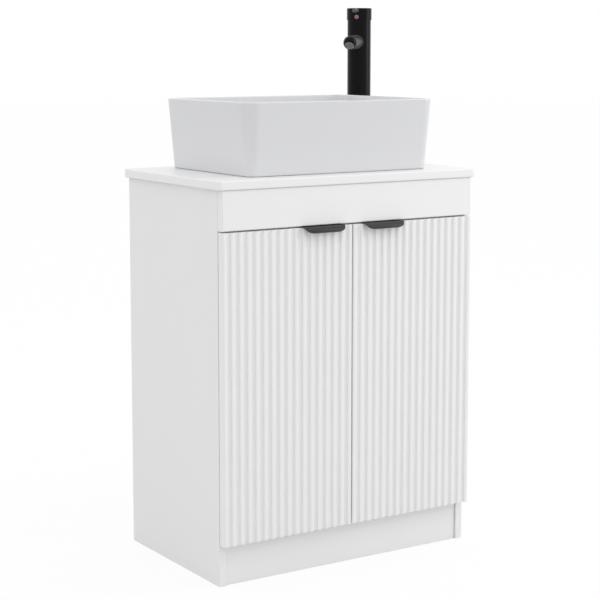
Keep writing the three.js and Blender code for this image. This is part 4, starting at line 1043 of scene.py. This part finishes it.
CARTRIDGE_BOTTOM = CARTRIDGE_TOP - 34
TURRET_RADIUS = 12
TURRET_BOTTOM = CARTRIDGE_TOP - 17.5
TURRET_TOP = TURRET_BOTTOM + 18
TURRET_SLOT = 6.5  # half the length of the slot in which the stem tilts
STEM_RADIUS = 3.5
STEM_BOTTOM = TURRET_BOTTOM + 2
STEM_TOP = CAP_BORE_TOP - SEAT
PIN_LEVER_HEIGHT = TAP_HEIGHT - 5.6
PIN_LEVER_RADIUS = 4.75
PIN_LEVER_ENDS = (14, 54)  # from the tap's axis
MARK_HEIGHT = TAP_HEIGHT - 19.3
MARK_RADIUS = 4.7
MARK_SEAT = (4.85, 26.85)  # radius, and distance from the tap's axis
MARK_GAP = 0.15  # from the middle of the round mark to each half


def tap_frame():
    """The tap's own frame: its axis upright at the origin, its spout towards -y, its foot at 0."""
    x, y, _ = joints["tap_temperature"]["pos_m"]
    tilt = joints["tap_flow"]["axis"]
    turn = math.atan2(-tilt[1], -tilt[0])
    return at(x / MM, y / MM, box("worktop")[1].z) @ Matrix.Rotation(turn, 4, "Z")


def outlet_frame():
    """The outlet's frame, within the tap's: its axis leaves the middle of the spout's round end."""
    fall = math.radians(SPOUT_FALL)
    end = at(0, -SPOUT_REACH * math.cos(fall), SPOUT_HEIGHT - SPOUT_REACH * math.sin(fall))
    return end @ turned(90 + OUTLET_ANGLE, "X")


def tap_body():
    """The hollow column with its shank and spout, the cartridge's socket and the outlet's seat."""
    shank, length = TAP_SHANK
    socket, socket_floor = CARTRIDGE_RADIUS + SEAT, CARTRIDGE_BOTTOM - SEAT
    column = lathed([
        (0, TAP_FOOT - length), (shank, TAP_FOOT - length, 1), (shank, TAP_FOOT),
        (TAP_RADIUS, TAP_FOOT, 1), (TAP_RADIUS, SHOULDER, 0.4), (NECK_RADIUS, SHOULDER, 0.4),
        (NECK_RADIUS, NECK_TOP, 0.3), (socket, NECK_TOP, 0.3), (socket, socket_floor),
        (0, socket_floor),
    ], 96)
    pen = Pen(0, 0).to(SPOUT_RADIUS, 0).to(SPOUT_RADIUS, SPOUT_REACH)
    pen.arc(0, SPOUT_REACH, 90, 14)
    spout = moved(spun(pen.wire(), 64), turned(90 + SPOUT_FALL, "X"), at(0, 0, SPOUT_HEIGHT))
    outlet = outlet_frame()
    beyond = moved(rod(30, OUTLET_DISTANCE, OUTLET_DISTANCE + 20, 32), outlet)
    seat = rod(AERATOR_RADIUS + SEAT, OUTLET_DISTANCE - 5.75, OUTLET_DISTANCE + 2, 64)
    floor, ceiling = TAP_FOOT + BODY_FLOOR, socket_floor - BODY_FLOOR
    hollow = lathed([
        (0, TAP_FOOT - length - 1), (HOSE_BORE, TAP_FOOT - length - 1), (HOSE_BORE, floor),
        (BODY_BORE, floor), (BODY_BORE, ceiling), (0, ceiling),
    ])
    return drilled(welded(column, spout), beyond, moved(seat, outlet), hollow)


def aerator_ring():
    """The steel ring that holds the outlet's insert."""
    face = OUTLET_DISTANCE - 0.5
    holder = lathed([
        (AERATOR_BORE, face - 5), (AERATOR_RADIUS, face - 5, 0.2), (AERATOR_RADIUS, face, 0.2),
        (AERATOR_BORE, face, 0.2), (AERATOR_BORE, face - 5),
    ], 48)
    return moved(holder, outlet_frame())


def aerator_insert():
    """A plastic lattice over a closed floor, seated in the ring."""
    face = OUTLET_DISTANCE - 0.9
    radius = AERATOR_BORE - SEAT
    bars = []
    for row in (-1.5, -0.5, 0.5, 1.5):
        low, high = (row * LATTICE_PITCH + side * LATTICE_BAR / 2 for side in (-1, 1))
        bars.append(block((low, -10, face - LATTICE_DEPTH), (high, 10, face)))
        bars.append(block((-10, low, face - LATTICE_DEPTH), (10, high, face)))
    lattice = kept(welded(*bars), rod(radius - 0.4, face - 2, face + 1))
    wall = lathed([
        (0, face - 3.5), (radius, face - 3.5, 0.2), (radius, face, 0.2), (radius - 0.6, face, 0.2),
        (radius - 0.6, face - 2.5), (0, face - 2.5),
    ], 48)
    return moved(welded(wall, lattice), outlet_frame())


def cap():
    """The lever's cap, with seats for the pin lever and the hot and cold marks."""
    bore = STEM_RADIUS + SEAT
    shell = lathed([
        (bore, CAP_WEB), (CAP_INSIDE, CAP_WEB, 0.5), (CAP_INSIDE, CAP_BOTTOM),
        (CAP_RADIUS, CAP_BOTTOM, 0.35), (CAP_RADIUS, TAP_HEIGHT, 1.2), (0, TAP_HEIGHT),
        (0, CAP_BORE_TOP), (bore, CAP_BORE_TOP), (bore, CAP_WEB),
    ], 96)
    pin_seat = rod(PIN_LEVER_RADIUS + SEAT, PIN_LEVER_ENDS[0] - SEAT, 40, 48)
    mark_seat = rod(*MARK_SEAT, 40, 48)
    to_front = turned(90, "X")
    moved(pin_seat, to_front, at(0, 0, PIN_LEVER_HEIGHT))
    moved(mark_seat, to_front, at(0, 0, MARK_HEIGHT))
    return drilled(shell, pin_seat, mark_seat)


def pin_lever():
    radius, (inner, outer) = PIN_LEVER_RADIUS, PIN_LEVER_ENDS
    shape = lathed([(0, inner), (radius, inner, 0.4), (radius, outer, 0.7), (0, outer)], 48)
    return moved(shape, turned(90, "X"), at(0, 0, PIN_LEVER_HEIGHT))


def half_mark(side):
    """Half of the round mark, with a softly domed face."""
    disc = lathed([
        (0, 26.75), (MARK_RADIUS, 26.75), (MARK_RADIUS, 27.1, 0.1), (3.4, 27.24, 0.4), (0, 27.25),
    ], 48)
    moved(disc, turned(90, "X"))
    sign = towards(side)
    bmesh.ops.bisect_plane(
        disc, geom=disc.verts[:] + disc.edges[:] + disc.faces[:], plane_co=(0, 0, 0),
        plane_no=(-sign, 0, 0), clear_outer=True,
    )
    bmesh.ops.holes_fill(disc, edges=[edge for edge in disc.edges if edge.is_boundary])
    return moved(disc, at(sign * MARK_GAP, 0, MARK_HEIGHT))


def cartridge():
    """The cartridge's housing, open at the top for the turret."""
    inner, floor = TURRET_RADIUS + SEAT, TURRET_BOTTOM - SEAT
    return lathed([
        (0, CARTRIDGE_BOTTOM), (CARTRIDGE_RADIUS, CARTRIDGE_BOTTOM, 0.6),
        (CARTRIDGE_RADIUS, CARTRIDGE_TOP, 0.6), (inner, CARTRIDGE_TOP), (inner, floor), (0, floor),
    ])


def turret():
    """The part that turns in the cartridge, with a slot in which the stem tilts."""
    radius, low, high = TURRET_RADIUS, TURRET_BOTTOM, TURRET_TOP
    round_part = lathed([(0, low), (radius, low), (radius, high, 0.6), (0, high)])
    half = STEM_RADIUS + SEAT
    slot = block((-half, -TURRET_SLOT, low + 1.5), (half, TURRET_SLOT, high + 4))
    return drilled(round_part, slot)


def stem():
    radius, low, high = STEM_RADIUS, STEM_BOTTOM, STEM_TOP
    return lathed([(0, low), (radius, low, 1), (radius, high, 1), (0, high)], 32)


def tap(place):
    """The tap's pieces, drawn in the tap's own frame."""
    bore = TAP_SHANK[0] + SEAT
    for name, shape, finish, body, node in (
        ("mixer_body", tap_body(), "black_metal", "cabinet", "tap_body"),
        ("outlet_aerator", aerator_ring(), "satin_steel", "cabinet", "tap_aerator"),
        ("outlet_insert", aerator_insert(), "grey_plastic", "cabinet", "tap_aerator"),
        ("foot_seal", ring(bore, 25, SEAT, SEAT + 1.5), "black_rubber", "cabinet", "tap_base_seal"),
        ("tap_gasket", ring(bore, 20, -20.25, -18.25), "black_rubber", "cabinet", "tap_washer"),
        ("tap_nut", nut(bore, 20, -30.5, -20.5, 6), "satin_steel", "cabinet", "tap_backnut"),
        ("mixer_cap", cap(), "black_metal", "tap_handle", "tap_cap"),
        # The pin lever takes the lighter black, which is painted light on the tap's own black
        # finish.
        ("pin_lever", pin_lever(), "lever_painted_lit_black", "tap_handle", "tap_pin_lever"),
        ("mark_red", half_mark("left"), "hot_red", "tap_handle", "tap_mark_hot"),
        ("mark_blue", half_mark("right"), "cold_blue", "tap_handle", "tap_mark_cold"),
        ("mixer_cartridge", cartridge(), "grey_plastic", "cabinet", "tap_cartridge"),
        ("mixer_turret", turret(), "grey_plastic", "tap_turret", "tap_turret"),
        ("mixer_stem", stem(), "satin_steel", "tap_handle", "tap_cartridge_lever"),
    ):
        make(name, moved(shape, place), finish, body, node)


# ---------------------------------------------------------------- studio

FLOOR_SHOW = 0.88  # share of plain white in the floor as the camera sees it
FLOOR_GREY = 0.6  # the floor as it lights the cabinet
FLOOR_RADIUS = 30
AMBIENT = 1.05
KEY_PLACE = (2.5, -1.42, 1.8)
KEY_AIM = (0, 0, 0.7)
KEY_SIZE = (0.3, 2.2)  # width and height of a tall narrow softbox
KEY_POWER = 21.5
CAMERA_PLACE = (-1.8305, -2.8221, 1.0482)
CAMERA_TURN = 32.913  # degrees to the right of straight ahead
CAMERA_DIP = 7.226  # degrees below level
CAMERA_LENS = 97.31
CAMERA_SHIFT = -0.08


def shown_to_the_eye(finish):
    """1 for a ray from the camera, a reflection or clear glass, and 0 for the light it lends."""
    kinds = ("Is Camera Ray", "Is Glossy Ray", "Is Transmission Ray")
    rays = [finish.node("ShaderNodeLightPath", {}, {}, kind) for kind in kinds]
    return (rays[0] + rays[1] + rays[2]) > 0.5


def studio_floor():
    shape = bmesh.new()
    bmesh.ops.create_circle(shape, cap_ends=True, segments=96, radius=FLOOR_RADIUS)
    mesh = bpy.data.meshes.new("studio_floor")
    shape.to_mesh(mesh)
    shape.free()
    floor = bpy.data.objects.new("studio_floor", mesh)
    bpy.context.scene.collection.objects.link(floor)
    finish = Finish(bpy.data.materials.new("pale_floor"), "ShaderNodeMixShader")
    seen = shown_to_the_eye(finish)
    colour = finish.mix(seen, grey(FLOOR_GREY), grey(0.9))
    matt = finish.node("ShaderNodeBsdfDiffuse", {}, {"Color": colour})
    white = finish.node("ShaderNodeEmission", {}, {"Color": grey(1), "Strength": 1})
    finish.feed(finish.shader, {0: seen * FLOOR_SHOW, 1: matt, 2: white})
    mesh.materials.append(finish.holder)


def studio_world():
    """White to the camera and in reflections, and a softer even light on everything else."""
    world = bpy.data.worlds.new("studio")
    bpy.context.scene.world = world
    finish = Finish(world, "ShaderNodeMixShader")
    seen = shown_to_the_eye(finish)
    soft = finish.node("ShaderNodeBackground", {}, {"Color": grey(1), "Strength": AMBIENT})
    white = finish.node("ShaderNodeBackground", {}, {"Color": grey(1), "Strength": 1})
    finish.feed(finish.shader, {0: seen, 1: soft, 2: white})


def aimed(direction):
    """The angles of a lamp or camera that looks this way."""
    return direction.to_track_quat("-Z", "Y").to_euler()


def softbox():
    """The one lamp, out of the camera's sight to the right."""
    light = bpy.data.lights.new("key", "AREA")
    light.shape = "RECTANGLE"
    light.size, light.size_y = KEY_SIZE
    light.energy = KEY_POWER
    lamp = bpy.data.objects.new("key", light)
    lamp.location = KEY_PLACE
    lamp.visible_camera = False
    lamp.rotation_euler = aimed(Vector(KEY_AIM) - Vector(KEY_PLACE))
    bpy.context.scene.collection.objects.link(lamp)


def camera():
    """The camera stands to the left of the front, a little above the basin's rim."""
    turn, dip = math.radians(CAMERA_TURN), math.radians(CAMERA_DIP)
    lens = bpy.data.cameras.new("camera")
    lens.lens = CAMERA_LENS
    lens.sensor_width = 36
    lens.shift_y = CAMERA_SHIFT
    lens.clip_end = 200
    view = bpy.data.objects.new("camera", lens)
    view.location = CAMERA_PLACE
    view.rotation_euler = aimed(Vector((
        math.sin(turn) * math.cos(dip), math.cos(turn) * math.cos(dip), -math.sin(dip),
    )))
    bpy.context.scene.collection.objects.link(view)
    bpy.context.scene.camera = view


def studio():
    studio_floor()
    studio_world()
    softbox()
    bpy.context.scene.view_settings.view_transform = "Standard"
    camera()


dress_boards()
fascia()
shelf_pins()
for side in SIDES:
    fluted_door(side)
    edge_pull(side)
    bumpers(side)
    hinges(side)
drain, tap_place = foot("basin"), tap_frame()
worktop(drain.xy, tap_place.translation.xy)
basin()
waste(at(*drain))
tap(tap_place)
studio()
